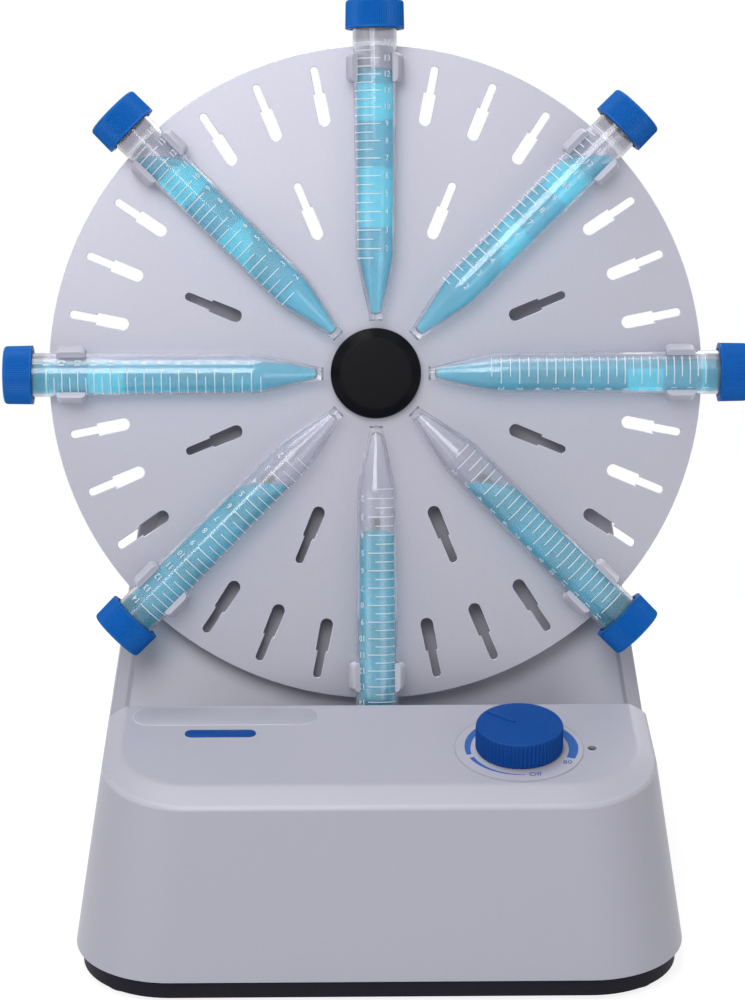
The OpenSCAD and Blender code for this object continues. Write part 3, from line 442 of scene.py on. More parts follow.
def painted_shade_beyond(made, radius, colour):
    """Greys a clear finish beyond a radius round the disc's centre: painted shade on the tubes past the disc's rim."""
    tree = made.node_tree
    base = tree.nodes["Principled BSDF"].inputs["Base Color"]
    place = tree.nodes.new("ShaderNodeTexCoord")
    reach = add(tree, "ShaderNodeVectorMath", operation="DISTANCE")
    reach.inputs[1].default_value = DISC_CENTRE * MM
    fade = add(tree, "ShaderNodeMapRange", From_Min=(radius - SHADE_FADE) * MM, From_Max=(radius + SHADE_FADE) * MM)
    tree.links.new(place.outputs["Object"], reach.inputs[0])
    tree.links.new(reach.outputs["Value"], fade.inputs["Value"])
    tree.links.new(mixed(tree, fade.outputs["Result"], base.links[0].from_socket, tuple(colour) + (1,)), base)


# %% Materials
material = {
    "housing": coated("housing", (0.43, 0.425, 0.50), 0.36, grain=1500.0, depth=0.000004, tint=0.94,
                      amount=0.4, smudge=0.03, wear=0.0),
    "base_plate": coated("base_plate", (0.012, 0.011, 0.018), 0.55, grain=500.0, depth=0.00002, wear=0.1,
                         Specular_IOR_Level=0.12),
    "rubber": coated("rubber", (0.012, 0.012, 0.014), 0.75, grain=350.0, depth=0.00003, wear=0.1),
    "screws": metal("screws", (0.55, 0.56, 0.60), 0.3),
    # the paler worn colour on the edges is partly real wear and partly a painted highlight that outlines the hub cap's
    # shoulder
    "black_plastic": coated("black_plastic", (0.004, 0.004, 0.006), 0.42, grain=600.0, depth=0.000008,
                            wear=0.3, worn=(0.03, 0.03, 0.04, 1), Specular_IOR_Level=0.09),
    "circuit_board": coated("circuit_board", (0.01, 0.10, 0.045), 0.3, grain=240.0, tint=1.5, amount=0.8),
    "wire": coated("wire", (0.45, 0.02, 0.02), 0.35, grain=300.0),
    "plated_steel": metal("plated_steel", (0.50, 0.51, 0.54), 0.32),
    "steel": metal("steel", (0.58, 0.58, 0.60), 0.18, lines=900.0),
    "blue_plastic": coated("blue_plastic", (0.003, 0.062, 0.29), 0.42, grain=800.0, depth=0.000006, smudge=0.04,
                           wear=0.1, worn=(0.02, 0.14, 0.48, 1), Specular_IOR_Level=0.12),
    "label": coated("label", (0.45, 0.445, 0.52), 0.36, grain=1200.0, depth=0.000004, tint=0.95, wear=0.0),
    "lamp": clear_finish("lamp", (0.10, 0.12, 0.11), (0.6, 0.7, 0.6), 0.08, 1.5),
    "brass": metal("brass", (0.62, 0.42, 0.14), 0.28),
    "aluminium": metal("aluminium", (0.62, 0.63, 0.66), 0.3, lines=600.0),
    "magnet": coated("magnet", (0.03, 0.03, 0.034), 0.6, grain=260.0, depth=0.00003),
    "copper": metal("copper", (0.55, 0.20, 0.08), 0.3, lines=1500.0, depth=0.00004),
    "disc_metal": coated("disc_metal", (0.385, 0.38, 0.445), 0.40, grain=1400.0, depth=0.000004, tint=0.94,
                         smudge=0.03, wear=0.0, Metallic=0.55),
    # painted highlight: the disc's bevelled edges get a paler colour than its faces
    "disc_edge_highlight": coated("disc_edge_highlight", (0.55, 0.545, 0.62), 0.30, grain=1400.0, depth=0.000004, tint=0.94,
                        smudge=0.03, wear=0.0, Metallic=0.7),
    "liquid": clear_finish("liquid", (0.03, 0.74, 0.90), (0.74, 0.95, 0.97), 0.0, 1.33, grain=90.0,
                           through=0.8),
    "clip_plastic": coated("clip_plastic", (0.60, 0.595, 0.68), 0.3, grain=700.0, tint=0.95, wear=0.1,
                           Transmission_Weight=0.25),
    "clear_plastic": clear_finish("clear_plastic", (0.84, 0.84, 0.89), (0.82, 0.825, 0.84), 0.12, 1.45, through=0.94),
}
lamps_pass(material["clip_plastic"], (0.72, 0.72, 0.75))
# painted shade: the tubes' plastic turns grey past the disc's rim
painted_shade_beyond(material["clear_plastic"], SHADE_FROM_RADIUS, (0.58, 0.575, 0.63))
for part in frame["record"]["subparts"]:
    for cell in nodes[part["node"]].material_slots:
        cell.material = material[part["material_slot"]]
print(len(material), "finishes on", len(nodes), "pieces")

# %% [markdown]
# ## Making a finished piece
# A new piece starts as a small mesh made with the modelling operators, drawn in millimetres around the origin.
# One helper then does what every piece needs: it carries the mesh to its place, turns millimetres to metres,
# makes the faces point outwards, smooths them up to a chosen angle, and lets the piece ride on its body.

# %% Helpers for pieces


def as_piece(name, bm, body, slot, place=None, stands_for=(), smooth=35.0, outward=True, finish=None):
    """Makes the finished object from a mesh drawn in millimetres."""
    if place is not None:
        bm.transform(place)
    bm.transform(Matrix.Scale(MM, 4))
    if outward:
        bmesh.ops.recalc_face_normals(bm, faces=bm.faces)
    mesh = bpy.data.meshes.new(name)
    bm.to_mesh(mesh)
    bm.free()
    mesh.shade_smooth()
    mesh.set_sharp_from_angle(angle=math.radians(smooth))
    mesh.materials.append(finish or material[slot])
    piece = bpy.data.objects.new(name, mesh)
    scene.collection.objects.link(piece)
    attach(piece, body)
    if stands_for:
        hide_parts(*stands_for)
    return piece


def rounded(bm, verts, radius, segments=4):
    """Rounds the corners of a wire at the given vertices."""
    bmesh.ops.bevel(bm, geom=verts, offset=radius, offset_type="OFFSET", segments=segments, profile=0.5,
                    affect="VERTICES", clamp_overlap=False, material=-1)


def turned(profile, steps=72):
    """A turned shape: the outline's (radius, height, rounding) points spin a full turn about z."""
    bm = bmesh.new()
    corners = [bm.verts.new((r, 0, z)) for r, z, _ in profile]
    for pair in zip(corners, corners[1:]):
        bm.edges.new(pair)
    for corner, (_, _, rounding) in list(zip(corners, profile)):
        if rounding:
            rounded(bm, [corner], rounding)
    bmesh.ops.spin(bm, geom=bm.verts[:] + bm.edges[:], cent=(0, 0, 0), axis=(0, 0, 1), angle=2 * math.pi,
                   steps=steps, use_merge=True)
    bmesh.ops.remove_doubles(bm, verts=bm.verts, dist=0.0005)
    bmesh.ops.recalc_face_normals(bm, faces=bm.faces)
    return bm


def cad_copy(node):
    """The node's mesh in millimetres, merged and with its flat faces whole again."""
    bm = bmesh.new()
    bm.from_mesh(nodes[node].data)
    bm.transform(Matrix.Scale(1 / MM, 4))
    bmesh.ops.remove_doubles(bm, verts=bm.verts, dist=0.002)
    bmesh.ops.dissolve_limit(bm, angle_limit=math.radians(0.5), verts=bm.verts, edges=bm.edges)
    return bm


def joined(target, source):
    """Adds one mesh to another."""
    keeper = bpy.data.meshes.new("keeper")
    source.to_mesh(keeper)
    source.free()
    target.from_mesh(keeper)
    bpy.data.meshes.remove(keeper)
    return target


# %% [markdown]
# ## Housing
# The housing is two moulded covers, and what the eye reads as moulded is the soft edge that catches the light.
# A whole-body bevel would spoil the small bosses inside, so only the outer convex edges are picked:
# the rim of the console, the crease to the trough and the edge of the tower's face. The rims of the two holes and
# the parting line to the rear cover stay sharp. The rim over the front wall takes a paler colour, a painted highlight.

# %% Soft edges on the covers
SOFT_EDGE = 1.3
SOFT_FROM = math.radians(11)
PARTING_LINE = 62
FOOT_TOP = 40
TROUGH_START = -35
CONSOLE_FRONT, CONSOLE_LOW = -45, 79
MIDDLE_OF_BASE = Vector((0, -75, 45))
MIDDLE_OF_TOWER = Vector((0, 50, 100))
KNOB_HOLE, LAMP_HOLE = 10, 6
LAMP_FROM_KNOB = Vector((26.9, 0, 0))


def is_outer(face, point):
    """True if the face looks away from the middle of its half of the housing."""
    middle = MIDDLE_OF_BASE if point.y < TROUGH_START else MIDDLE_OF_TOWER
    return face.normal.dot(point - middle) > 1.0


def near_a_hole(point):
    """True at the rims of the knob's and the lamp's holes."""
    from_knob = point - Vector((*KNOB_XY, point.z))
    return from_knob.length < KNOB_HOLE or (from_knob - LAMP_FROM_KNOB).length < LAMP_HOLE


def soften(bm, offset):
    """Rounds the outer convex edges, and gives the front rim the paler colour of a painted highlight."""
    picked = []
    for edge in bm.edges:
        if len(edge.link_faces) != 2 or not edge.is_convex or edge.calc_face_angle(0) < SOFT_FROM:
            continue
        point = (edge.verts[0].co + edge.verts[1].co) / 2
        if (point.z > FOOT_TOP and point.y < PARTING_LINE - 1 and not near_a_hole(point)
                and all(is_outer(f, point) for f in edge.link_faces)):
            picked.append(edge)
    made = bmesh.ops.bevel(bm, geom=picked, offset=offset, offset_type="OFFSET", segments=3, profile=0.5,
                           affect="EDGES", clamp_overlap=False, material=-1)
    for face in made["faces"]:
        middle = face.calc_center_median()
        # the front rim's bevel faces take the second material, a paler painted highlight
        face.material_index = int(middle.y < CONSOLE_FRONT and middle.z < CONSOLE_LOW)
    return len(picked)


cover = cad_copy("front_housing")
count = soften(cover, SOFT_EDGE)
housing_shell = as_piece("housing_shell", cover, "base", "housing", stands_for=["front_housing"], outward=False)
# painted highlight: a paler, glossier colour for the console's front rim
housing_rim_highlight = coated("housing_rim_highlight", (0.475, 0.47, 0.545), 0.28, grain=1500.0, depth=0.000003, tint=0.95,
                      smudge=0.03, wear=0.0)
housing_shell.data.materials.append(housing_rim_highlight)
weighted = housing_shell.modifiers.new("even_shading", "WEIGHTED_NORMAL")
weighted.keep_sharp = True
print("housing: softened", count, "edges,", len(housing_shell.data.polygons), "faces")

# %% [markdown]
# ## Disc
# The disc is a stamped plate with keyhole slots for the clips. A stamped edge is never knife sharp:
# a bevel of a fifth of a millimetre on the rim and round every slot gives the thin bright line there, made brighter by
# a paler colour on the bevel, a painted highlight.

# %% Disc
DISC_BEVEL = 0.22
STAMPED_FROM = math.radians(60)
BROAD_FACE = 0.999
plate = cad_copy("rotor_disc")
sharp = [e for e in plate.edges if len(e.link_faces) == 2 and e.calc_face_angle(0) > STAMPED_FROM]
bmesh.ops.bevel(plate, geom=sharp, offset=DISC_BEVEL, offset_type="OFFSET", segments=2, profile=0.5,
                affect="EDGES", clamp_overlap=True, material=-1)
disc_plate = as_piece("disc_plate", plate, "rotor", "disc_metal", stands_for=["rotor_disc"], outward=False)
disc_plate.data.materials.append(material["disc_edge_highlight"])
disc_front = ON_DISC.to_3x3() @ Vector((0, 0, 1))
for face in disc_plate.data.polygons:
    # the two broad faces are truly flat, and only the edges are shaded round and take a paler colour, a painted
    # highlight
    on_edge = abs(face.normal.dot(disc_front)) < BROAD_FACE
    face.use_smooth = on_edge
    face.material_index = int(on_edge)
print("disc:", len(sharp), "edges bevelled,", len(disc_plate.data.polygons), "faces")

# %% [markdown]
# ## Hub cap
# The hub cap is a turned black moulding: a straight skirt, a wide slanting shoulder and a flat top.
# It is spun from its outline, with every corner of the outline rounded first.

# %% Hub cap
hub_cap = turned([(5, 0, 0), (17.3, 0, 0.3), (17.3, 4.6, 0.9), (13.6, 7.8, 0.7), (0, 8.0, 0), (0, 6.2, 0), (5, 6.2, 0),
                  (5, 0, 0)], steps=96)
hub_cap = as_piece("hub_cap_moulding", hub_cap, "rotor", "black_plastic", ON_DISC, ["hub_cap"])
print("hub cap:", len(hub_cap.data.polygons), "faces")

# %% [markdown]
# ## Ribbed mouldings
# The knob and the screw caps have fine ribs for the fingers. Both start as a circle whose points swing in and out.
# The circle is extruded ring by ring, and where a ring is plain its points go back to one radius.

# %% Ribs and the knob


def ribbed(rings, ribs, per_rib=4):
    """Stacks rings of (radius, height, rib depth) into a closed solid whose first and last faces are flat."""
    count = ribs * per_rib
    bm = bmesh.new()
    bmesh.ops.create_circle(bm, cap_ends=True, radius=1, segments=count)
    top_face = bm.faces[:][0]

    def shape_ring(face, radius, height, depth):
        """Lays the face's points on a circle that swings in and out once a rib."""
        for vert in face.verts:
            turn = math.atan2(vert.co.y, vert.co.x)
            here = radius - depth * (0.5 - 0.5 * math.cos(ribs * turn))
            vert.co = (here * math.cos(turn), here * math.sin(turn), height)

    shape_ring(top_face, *rings[0])
    for ring in rings[1:]:
        made = bmesh.ops.extrude_face_region(bm, geom=[top_face], use_keep_orig=ring is rings[1])
        top_face = [g for g in made["geom"] if isinstance(g, bmesh.types.BMFace)][0]
        shape_ring(top_face, *ring)
    bmesh.ops.recalc_face_normals(bm, faces=bm.faces)
    return bm


KNOB_RADIUS = 16.15
KNOB_TOP = 10.5
KNOB_WALL = 2.6
KNOB_HOLLOW = 7.8
POINTER_TURN = math.radians(-38)
knob = ribbed([(15.9, 0.7, 0.3), (KNOB_RADIUS, 1.1, 0.55), (KNOB_RADIUS, 9.3, 0.55), (16.0, 9.8, 0.35),
               (15.75, 10.2, 0.0), (15.3, 10.43, 0.0), (14.8, KNOB_TOP, 0.0)], ribs=64)
# hollow underneath, so that the shaft and its nut have room
underside = min(knob.faces, key=lambda f: f.calc_center_median().z)
bmesh.ops.inset_individual(knob, faces=[underside], thickness=KNOB_WALL)
hollow = bmesh.ops.extrude_face_region(knob, geom=[underside])
bmesh.ops.delete(knob, geom=[underside], context="FACES_ONLY")
bmesh.ops.translate(knob, vec=(0, 0, KNOB_HOLLOW),
                    verts=[g for g in hollow["geom"] if isinstance(g, bmesh.types.BMVert)])
# the sleeve that grips the shaft
joined(knob, turned([(3.02, 3, 0), (5.2, 3, 0.3), (5.2, 8.6, 0), (3.02, 8.6, 0), (3.02, 3, 0)], steps=48))
# the raised pointer on top
pointer = bmesh.new()
bmesh.ops.create_cube(pointer, size=1, matrix=Matrix.Translation((-8.4, 0, KNOB_TOP))
                      @ Matrix.Diagonal((12.4, 1.5, 1.1, 1)))
bmesh.ops.bevel(pointer, geom=pointer.edges[:], offset=0.35, offset_type="OFFSET", segments=3, profile=0.5,
                affect="EDGES", clamp_overlap=True, material=-1)
bmesh.ops.rotate(pointer, verts=pointer.verts, cent=(0, 0, 0), matrix=Matrix.Rotation(POINTER_TURN, 3, "Z"))
joined(knob, pointer)
knob = as_piece("knob_moulding", knob, "knob", "blue_plastic", on_console(*KNOB_XY), ["speed_knob"], smooth=50,
                outward=False)
print("knob:", len(knob.data.polygons), "faces")

# %% [markdown]
# ## Dial print
# The dial is a round film on the console with a thin rim line. A blue band round the knob widens with the speed,
# from a hairline at Off to its full width at 80. It is print, so it is a film only a few hundredths thick.
# Each band is one row of a grid that is bent to the arc, and then given its thickness.

# %% Dial
LABEL_TOP = 0.32
INK = 0.05
ink_blue = coated("ink_blue", (0.012, 0.105, 0.40), 0.45, grain=1500.0, depth=0.000002, tint=0.9, wear=0.0)
ink_white = coated("ink_white", (0.72, 0.76, 0.80), 0.5, grain=2500.0, depth=0.000002, tint=0.9, wear=0.0)
ink_grey = coated("ink_grey", (0.25, 0.245, 0.30), 0.5, grain=1500.0, depth=0.000002, tint=0.9, wear=0.0)


def bent_band(stations, height, steps=6):
    """A flat printed arc through (angle in degrees, inner radius, outer radius) stations."""
    bm = bmesh.new()
    for (a0, in0, out0), (a1, in1, out1) in zip(stations, stations[1:]):
        made = bmesh.ops.create_grid(bm, x_segments=steps, y_segments=1, size=0.5)
        for vert in made["verts"]:
            along, across = vert.co.x + 0.5, vert.co.y + 0.5
            turn = math.radians(a0 + (a1 - a0) * along)
            inner, outer = in0 + (in1 - in0) * along, out0 + (out1 - out0) * along
            radius = inner + (outer - inner) * across
            vert.co = (radius * math.cos(turn), radius * math.sin(turn), height)
    bmesh.ops.remove_doubles(bm, verts=bm.verts, dist=0.001)
    return bm


def thickened(bm, up=INK):
    """Gives a flat print its thickness along z, as a closed film."""
    bmesh.ops.recalc_face_normals(bm, faces=bm.faces)
    made = bmesh.ops.extrude_face_region(bm, geom=bm.faces[:], use_keep_orig=True)
    bmesh.ops.translate(bm, vec=(0, 0, up), verts=[g for g in made["geom"] if isinstance(g, bmesh.types.BMVert)])
    bmesh.ops.recalc_face_normals(bm, faces=bm.faces)
    return bm


def lettering(text, size, resolution=3):
    """Flat letters centred on the origin."""
    curve = bpy.data.curves.new("letters", "FONT")
    curve.body = text
    curve.size = size
    curve.align_x = "CENTER"
    curve.align_y = "CENTER"
    curve.resolution_u = resolution
    holder = bpy.data.objects.new("letters", curve)
    scene.collection.objects.link(holder)
    graph = bpy.context.evaluated_depsgraph_get()
    mesh = bpy.data.meshes.new_from_object(holder.evaluated_get(graph))
    bm = bmesh.new()
    bm.from_mesh(mesh)
    bmesh.ops.remove_doubles(bm, verts=bm.verts, dist=0.001)
    bpy.data.objects.remove(holder)
    bpy.data.meshes.remove(mesh)
    bpy.data.curves.remove(curve)
    return bm


dial = thickened(bent_band([(-22, 18.4, 21.6), (4, 18.3, 21.9), (38, 18.2, 21.7), (90, 18.0, 21.2), (140, 17.9, 20.8),
                            (174, 17.8, 20.1), (194, 18.2, 20.0)], LABEL_TOP))
joined(dial, thickened(bent_band([(201, 18.1, 19.8), (225, 18.4, 19.5), (250, 18.8, 19.4), (274, 19.15, 19.35)],
                                 LABEL_TOP)))
for text, place, turn in (("Off", (4.9, -18.9), 4), ("80", (17.2, -10.6), 0)):
    letters = lettering(text, 3.5)
    letters.transform(Matrix.Translation((*place, LABEL_TOP)) @ Matrix.Rotation(math.radians(turn), 4, "Z"))
    joined(dial, thickened(letters))
dial = as_piece("dial_print", dial, "base", "blue_plastic", on_console(*KNOB_XY), outward=False, finish=ink_blue)
rim_line = thickened(bent_band([(0, 23.62, 23.8), (120, 23.62, 23.8), (240, 23.62, 23.8), (360, 23.62, 23.8)],
                               LABEL_TOP, steps=30), 0.02)
rim_line = as_piece("dial_rim_line", rim_line, "base", "label", on_console(*KNOB_XY), outward=False, finish=ink_grey)
print("dial:", len(dial.data.polygons), "faces")

# %% [markdown]
# ## Panel labels
# Two pill-shaped labels lie on the console at the left, a wide grey one with a pale rim and a small blue one.
# Both are left bare.
# A pill is a grid's rectangle with its corners rounded as a wire would be, then lifted into a thin film.

# %% Labels


def pill(length, width, thickness):
    """A film with round ends, flat on the origin."""
    bm = bmesh.new()
    bmesh.ops.create_grid(bm, x_segments=1, y_segments=1, size=0.5,
                          matrix=Matrix.Diagonal((length, width, 1, 1)))
    bmesh.ops.bevel(bm, geom=bm.verts[:], offset=width / 2 - 0.01, offset_type="OFFSET", segments=14, profile=0.5,
                    affect="VERTICES", clamp_overlap=True, material=-1)
    made = bmesh.ops.extrude_face_region(bm, geom=bm.faces[:], use_keep_orig=True)
    bmesh.ops.translate(bm, vec=(0, 0, thickness), verts=[g for g in made["geom"] if isinstance(g, bmesh.types.BMVert)])
    bmesh.ops.recalc_face_normals(bm, faces=bm.faces)
    top_edges = [e for e in bm.edges if all(v.co.z > thickness / 2 for v in e.verts)]
    bmesh.ops.bevel(bm, geom=top_edges, offset=thickness / 3, offset_type="OFFSET", segments=2, profile=0.5,
                    affect="EDGES", clamp_overlap=True, material=-1)
    return bm


label_film = coated("label_film", (0.395, 0.39, 0.46), 0.33, grain=1500.0, depth=0.000002, tint=0.96, wear=0.0)
pale_rim = coated("pale_rim", (0.62, 0.615, 0.69), 0.33, grain=1500.0, depth=0.000002, tint=0.96, wear=0.0)
WIDE_LABEL = (-57.2, -50.9)
BLUE_LABEL = (-58.8, -63.5)
as_piece("wide_label_rim", pill(69.3, 12.9, 0.18), "base", "label", on_console(*WIDE_LABEL), finish=pale_rim)
wide_label = as_piece("wide_label", pill(68.9, 12.5, 0.25), "base", "label", on_console(*WIDE_LABEL),
                      finish=label_film)
blue_label = as_piece("blue_label", pill(26.4, 5.2, 0.25), "base", "blue_plastic", on_console(*BLUE_LABEL))
print("labels:", wide_label.name, blue_label.name)

# %% [markdown]
# ## Tubes
# A conical centrifuge tube is a thin clear wall with a pointed foot, a short rim at its tip and a threaded mouth.
# It is spun from its outline, inside and out, so that light bends at both faces of the wall as it does in the real one.

# %% Tubes
TUBE_LENGTH = 119.2
CONE_LENGTH = 24.5
CONE_RADIUS = 7.5
MOUTH_RADIUS = 8.45
WIDENING = 0.95
TUBE_WALL = 1.0
THREAD_FROM_MOUTH = 7


def outer_radius(z):
    """The tube's outer radius above its cone: the wall widens slowly to the mouth."""
    return CONE_RADIUS + WIDENING * (z - CONE_LENGTH) / (TUBE_LENGTH - CONE_LENGTH)


# rings that split the long straight wall into shorter faces
RINGS = [CONE_LENGTH + 8 * step for step in range(1, 11)]


def tube_outline():
    """The tube's wall: up the outside from the rim at the tip, over the mouth and down the inside."""
    thread = TUBE_LENGTH - THREAD_FROM_MOUTH
    near = outer_radius(thread)
    foot = [(0, 0.8, 0), (1.75, 0.8, 0.2), (2.0, 0, 0.15), (2.6, 0, 0.2), (2.6, 2, 0.3),
            (CONE_RADIUS, CONE_LENGTH, 2.5)]
    bead = [(near, thread, 0), (near + 0.6, thread + 0.6, 0.25), (near + 0.6, thread + 1.4, 0.25),
            (near, thread + 2, 0)]
    mouth = [(MOUTH_RADIUS, TUBE_LENGTH, 0.3), (MOUTH_RADIUS - TUBE_WALL, TUBE_LENGTH, 0.3)]
    bottom = [(CONE_RADIUS - TUBE_WALL, CONE_LENGTH, 2.5), (1.6, 3, 0.5), (0, 2.4, 0)]
    outside = [(outer_radius(z), z, 0) for z in RINGS]
    inside = [(outer_radius(z) - TUBE_WALL, z, 0) for z in reversed(RINGS)]
    return foot + outside + bead + mouth + inside + bottom


for number in range(1, TUBES + 1):
    tube = as_piece(f"clear_tube_{number}", turned(tube_outline(), steps=64), "rotor", "clear_plastic",
                    on_tube(number), [f"tube_{number}"], outward=False, smooth=40)
print("tubes:", TUBES, "of", len(tube.data.polygons), "faces")

# %% [markdown]
# ## Sample liquid
# The liquid fills the inside of its tube up to a level that stays flat as the tube leans. Each filling is spun from
# the tube's inner outline, carried to its tube, and cut by a level plane. The cut is then closed as the surface.

# %% Liquid
LEVEL_UPRIGHT = 94
LEVEL_HANGING = 42
LEVEL_ACROSS = 3.4
FILL_TOP = 116.4
GAP = 0.03


def level_height(number):
    """The height above the bench of the liquid's surface."""
    up = math.sin(tube_angle(number))
    if abs(up) < 0.1:
        along, extra = 0.0, LEVEL_ACROSS
    else:
        along, extra = (TIP_RADIUS + (LEVEL_UPRIGHT if up > 0 else LEVEL_HANGING)) * up, 0.0
    return DISC_CENTRE.z + along * math.cos(DISC_TILT) + TUBE_HEIGHT * math.sin(DISC_TILT) + extra


filling_outline = [(0, 2.4 + GAP, 0), (1.6 - GAP, 3 + GAP, 0.5), (CONE_RADIUS - TUBE_WALL - GAP, CONE_LENGTH, 2.5),
                   *[(outer_radius(z) - TUBE_WALL - GAP, z, 0) for z in RINGS],
                   (outer_radius(FILL_TOP) - TUBE_WALL - GAP, FILL_TOP, 0.3), (0, FILL_TOP, 0)]
liquid = bmesh.new()
for number in range(1, TUBES + 1):
    filling = turned(filling_outline, steps=64)
    filling.transform(on_tube(number))
    cut = bmesh.ops.bisect_plane(filling, geom=filling.verts[:] + filling.edges[:] + filling.faces[:], dist=0.0001,
                                 plane_co=(0, 0, level_height(number)), plane_no=(0, 0, 1), clear_outer=True)
    rim = [g for g in cut["geom_cut"] if isinstance(g, bmesh.types.BMEdge)]
    if rim:
        bmesh.ops.contextual_create(filling, geom=rim)
    bmesh.ops.recalc_face_normals(filling, faces=filling.faces)
    joined(liquid, filling)
liquid = as_piece("samples", liquid, "rotor", "liquid", stands_for=["sample_liquid"], outward=False, smooth=40)
print("liquid:", len(liquid.data.polygons), "faces")

# %% [markdown]
# ## Screw caps
# The caps are ribbed like the knob, only finer, with a plain flange at the open end. A cap is a cup with a plug inside,
# so its closed solid is hollowed by insetting and pushing in the face at the open end.

# %% Screw caps
CAP_HEIGHT = 10.9
CAP_WALL = 1.75
CAP_TOP = TUBE_LENGTH + 1.8
CAP_Z = CAP_TOP - CAP_HEIGHT
cap_blue = coated("cap_blue", (0.005, 0.125, 0.47), 0.40, grain=800.0, depth=0.000006, smudge=0.04,
                  wear=0.1, worn=(0.03, 0.2, 0.6, 1), Specular_IOR_Level=0.12)
for number in range(1, TUBES + 1):
    cap = ribbed([(11.05, CAP_Z, 0.0), (11.2, CAP_Z + 0.15, 0.0), (11.2, CAP_Z + 0.5, 0.0), (11.15, CAP_Z + 0.7, 0.1),
                  (11.15, CAP_Z + 0.9, 0.28), (11.0, CAP_TOP - 1.2, 0.28), (10.85, CAP_TOP - 0.7, 0.12),
                  (10.6, CAP_TOP - 0.35, 0.0), (10.3, CAP_TOP - 0.12, 0.0), (9.9, CAP_TOP, 0.0)], ribs=96)
    mouth = min(cap.faces, key=lambda f: f.calc_center_median().z)
    bmesh.ops.inset_individual(cap, faces=[mouth], thickness=CAP_WALL)
    pushed = bmesh.ops.extrude_face_region(cap, geom=[mouth])
    bmesh.ops.delete(cap, geom=[mouth], context="FACES_ONLY")
    bmesh.ops.translate(cap, vec=(0, 0, TUBE_LENGTH + 0.1 - CAP_Z),
                        verts=[g for g in pushed["geom"] if isinstance(g, bmesh.types.BMVert)])
    joined(cap, turned([(0, TUBE_LENGTH + 0.3, 0), (6.25, TUBE_LENGTH + 0.3, 0), (6.45, TUBE_LENGTH - 2.5, 0.2),
                        (7.25, TUBE_LENGTH - 2.0, 0.2), (7.25, TUBE_LENGTH + 0.3, 0)], steps=48))
    cap = as_piece(f"screw_cap_{number}", cap, "rotor", "blue_plastic", on_tube(number), [f"tube_cap_{number}"],
                   smooth=50, outward=False, finish=cap_blue)
print("caps:", TUBES, "of", len(cap.data.polygons), "faces")

# %% [markdown]
# ## Clips
# A clip is a springy open ring on a foot that sits in a slot. Its wall in section is a rounded bar, so the ring is that
# bar spun round the tube, short of the mouth that lets the tube snap in.

# %% Clips
CLIP_LENGTH = 11.0
CLIP_WALL = 2.6
CLIP_OPEN = math.radians(52)
CLIP_Z = 115.5 - TIP_RADIUS
SLOT_END = 119.2 - TIP_RADIUS
FOOT_WIDTH = 14
CLIP_BORE = outer_radius(CLIP_Z + CLIP_LENGTH / 2) + 0.06


def clip_ring():
    """The open ring, spun from its bar. The two ends of the spin frame the mouth."""
    bm = bmesh.new()
    centre = Vector((CLIP_BORE + CLIP_WALL / 2, 0, CLIP_Z))
    bmesh.ops.create_grid(bm, x_segments=1, y_segments=1, size=0.5, matrix=Matrix.Translation(centre)
                          @ Matrix.Rotation(math.pi / 2, 4, "X") @ Matrix.Diagonal((CLIP_WALL, CLIP_LENGTH, 1, 1)))
    outer = [v for v in bm.verts if v.co.x > centre.x]
    inner = [v for v in bm.verts if v.co.x < centre.x]
    rounded(bm, inner, 0.4, 3)
    rounded(bm, [v for v in outer if v.is_valid], 2.1, 8)
    start = math.pi + CLIP_OPEN
    bmesh.ops.rotate(bm, verts=bm.verts, cent=(0, 0, 0), matrix=Matrix.Rotation(start, 3, "Z"))
    first = bm.faces[:][0]
    made = bmesh.ops.spin(bm, geom=[first], cent=(0, 0, 0), axis=(0, 0, 1), angle=2 * (math.pi - CLIP_OPEN), steps=40)
    bmesh.ops.recalc_face_normals(bm, faces=bm.faces)
    return bm


def clip_foot():
    """The block under the ring, and the stem and the hook that go through the slot."""
    bm = bmesh.new()
    low, high = CLIP_BORE + 0.8, TUBE_HEIGHT - 0.02
    bmesh.ops.create_cube(bm, size=1, matrix=Matrix.Translation(((low + high) / 2, 0, CLIP_Z))
                          @ Matrix.Diagonal((high - low, FOOT_WIDTH, CLIP_LENGTH, 1)))
    upright = [e for e in bm.edges if abs(e.verts[0].co.x - e.verts[1].co.x) > 0.5]
    bmesh.ops.bevel(bm, geom=upright, offset=1.5, offset_type="OFFSET", segments=4, profile=0.5, affect="EDGES",
                    clamp_overlap=True, material=-1)
    for size, x, z in (((2.8, 2.7, 5), TUBE_HEIGHT + 1.2, SLOT_END - 3.7),
                       ((1.6, 4.3, 6.5), TUBE_HEIGHT + 3.1, SLOT_END - 3.25)):
        bmesh.ops.create_cube(bm, size=1, matrix=Matrix.Translation((x, 0, z)) @ Matrix.Diagonal((*size, 1)))
    return bm


for number in range(1, TUBES + 1):
    clip = as_piece(f"clip_{number}", joined(clip_ring(), clip_foot()), "rotor", "clip_plastic", on_tube(number),
                    [f"tube_clip_{number}"], smooth=40)
print("clips:", TUBES, "of", len(clip.data.polygons), "faces")

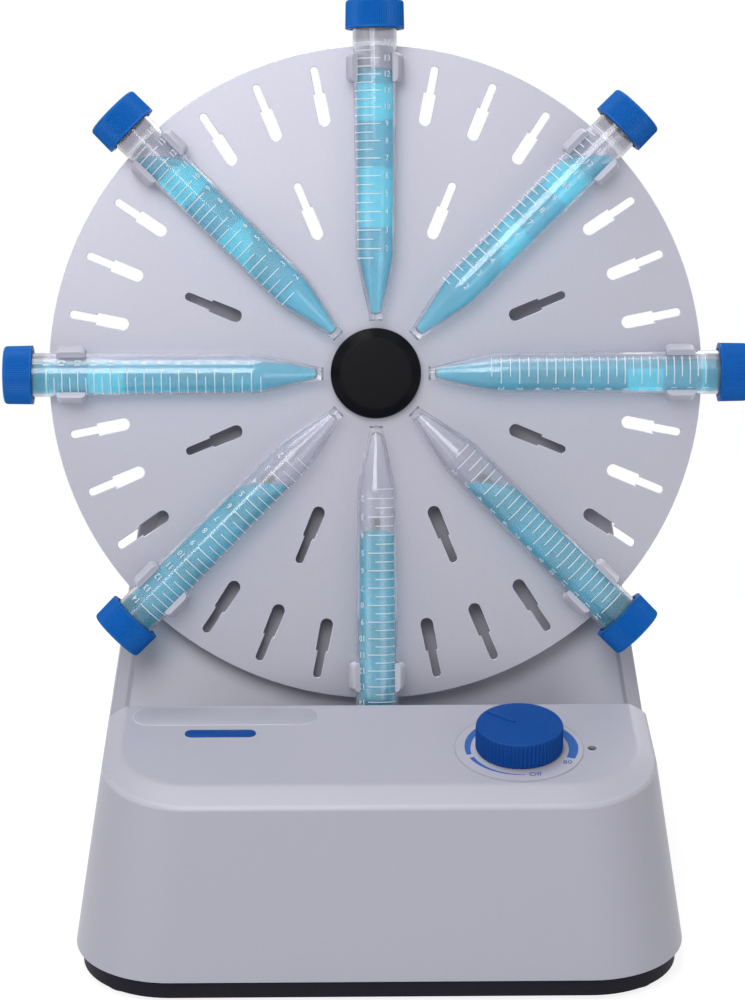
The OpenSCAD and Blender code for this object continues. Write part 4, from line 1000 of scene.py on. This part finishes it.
# %% [markdown]
# ## Graduations
# The millilitre scale is white print on the outside of each tube. Every tube sits rolled a little differently in its
# clip. The print is laid out flat, with the arc across and the tube's length up, and then wrapped round the wall.
# The wall widens to the mouth, so the marks for equal volumes draw slowly closer.

# %% Scales
ROLL = {1: 0, 2: -26, 3: 17, 4: 16, 5: 12, 6: 0, 7: 0, 8: 5}
TICK_START, TICK_END, HALF_END = -66, 14, -7
NUMERAL_TURN = 33
LINE = 0.34
PRINT_LIFT = 0.05
PRINT_THICKNESS = 0.05
PRINT_RADIUS = 8.1


def mark_height(volume):
    """How far above the tip a mark stands, for a volume in millilitres."""
    return 12.9 + 7.25 * volume - 0.05 * volume ** 2


def flat_scale():
    """Ticks and numerals laid out flat: x is in degrees round the wall, y in millimetres from the tip."""
    bm = bmesh.new()
    for step in range(3, 29):
        whole = step % 2 == 0
        start, end = TICK_START, TICK_END if whole else HALF_END
        bmesh.ops.create_grid(bm, x_segments=8, y_segments=1, size=0.5,
                              matrix=Matrix.Translation(((start + end) / 2, mark_height(step / 2), 0))
                              @ Matrix.Diagonal((end - start, LINE, 1, 1)))
        if whole:
            numeral = lettering(str(step // 2), 3.3, 2)
            degrees_per_mm = math.degrees(1 / PRINT_RADIUS)
            numeral.transform(Matrix.Translation((NUMERAL_TURN, mark_height(step / 2), 0))
                              @ Matrix.Diagonal((degrees_per_mm, 1, 1, 1)))
            joined(bm, numeral)
    return bm


def wrapped(bm, roll):
    """Wraps the flat print round the tube, with 0 degrees facing away from the disc."""
    for vert in bm.verts:
        turn = math.radians(vert.co.x + roll)
        radius = outer_radius(vert.co.y) + PRINT_LIFT
        vert.co = (-radius * math.cos(turn), -radius * math.sin(turn), vert.co.y)
    bmesh.ops.recalc_face_normals(bm, faces=bm.faces)
    bmesh.ops.solidify(bm, geom=bm.faces[:], thickness=PRINT_THICKNESS)
    return bm


for number in range(1, TUBES + 1):
    scale = as_piece(f"tube_scale_{number}", wrapped(flat_scale(), ROLL[number]), "rotor", "label",
                     on_tube(number), finish=ink_white)
print("scales:", TUBES, "of", len(scale.data.polygons), "faces")
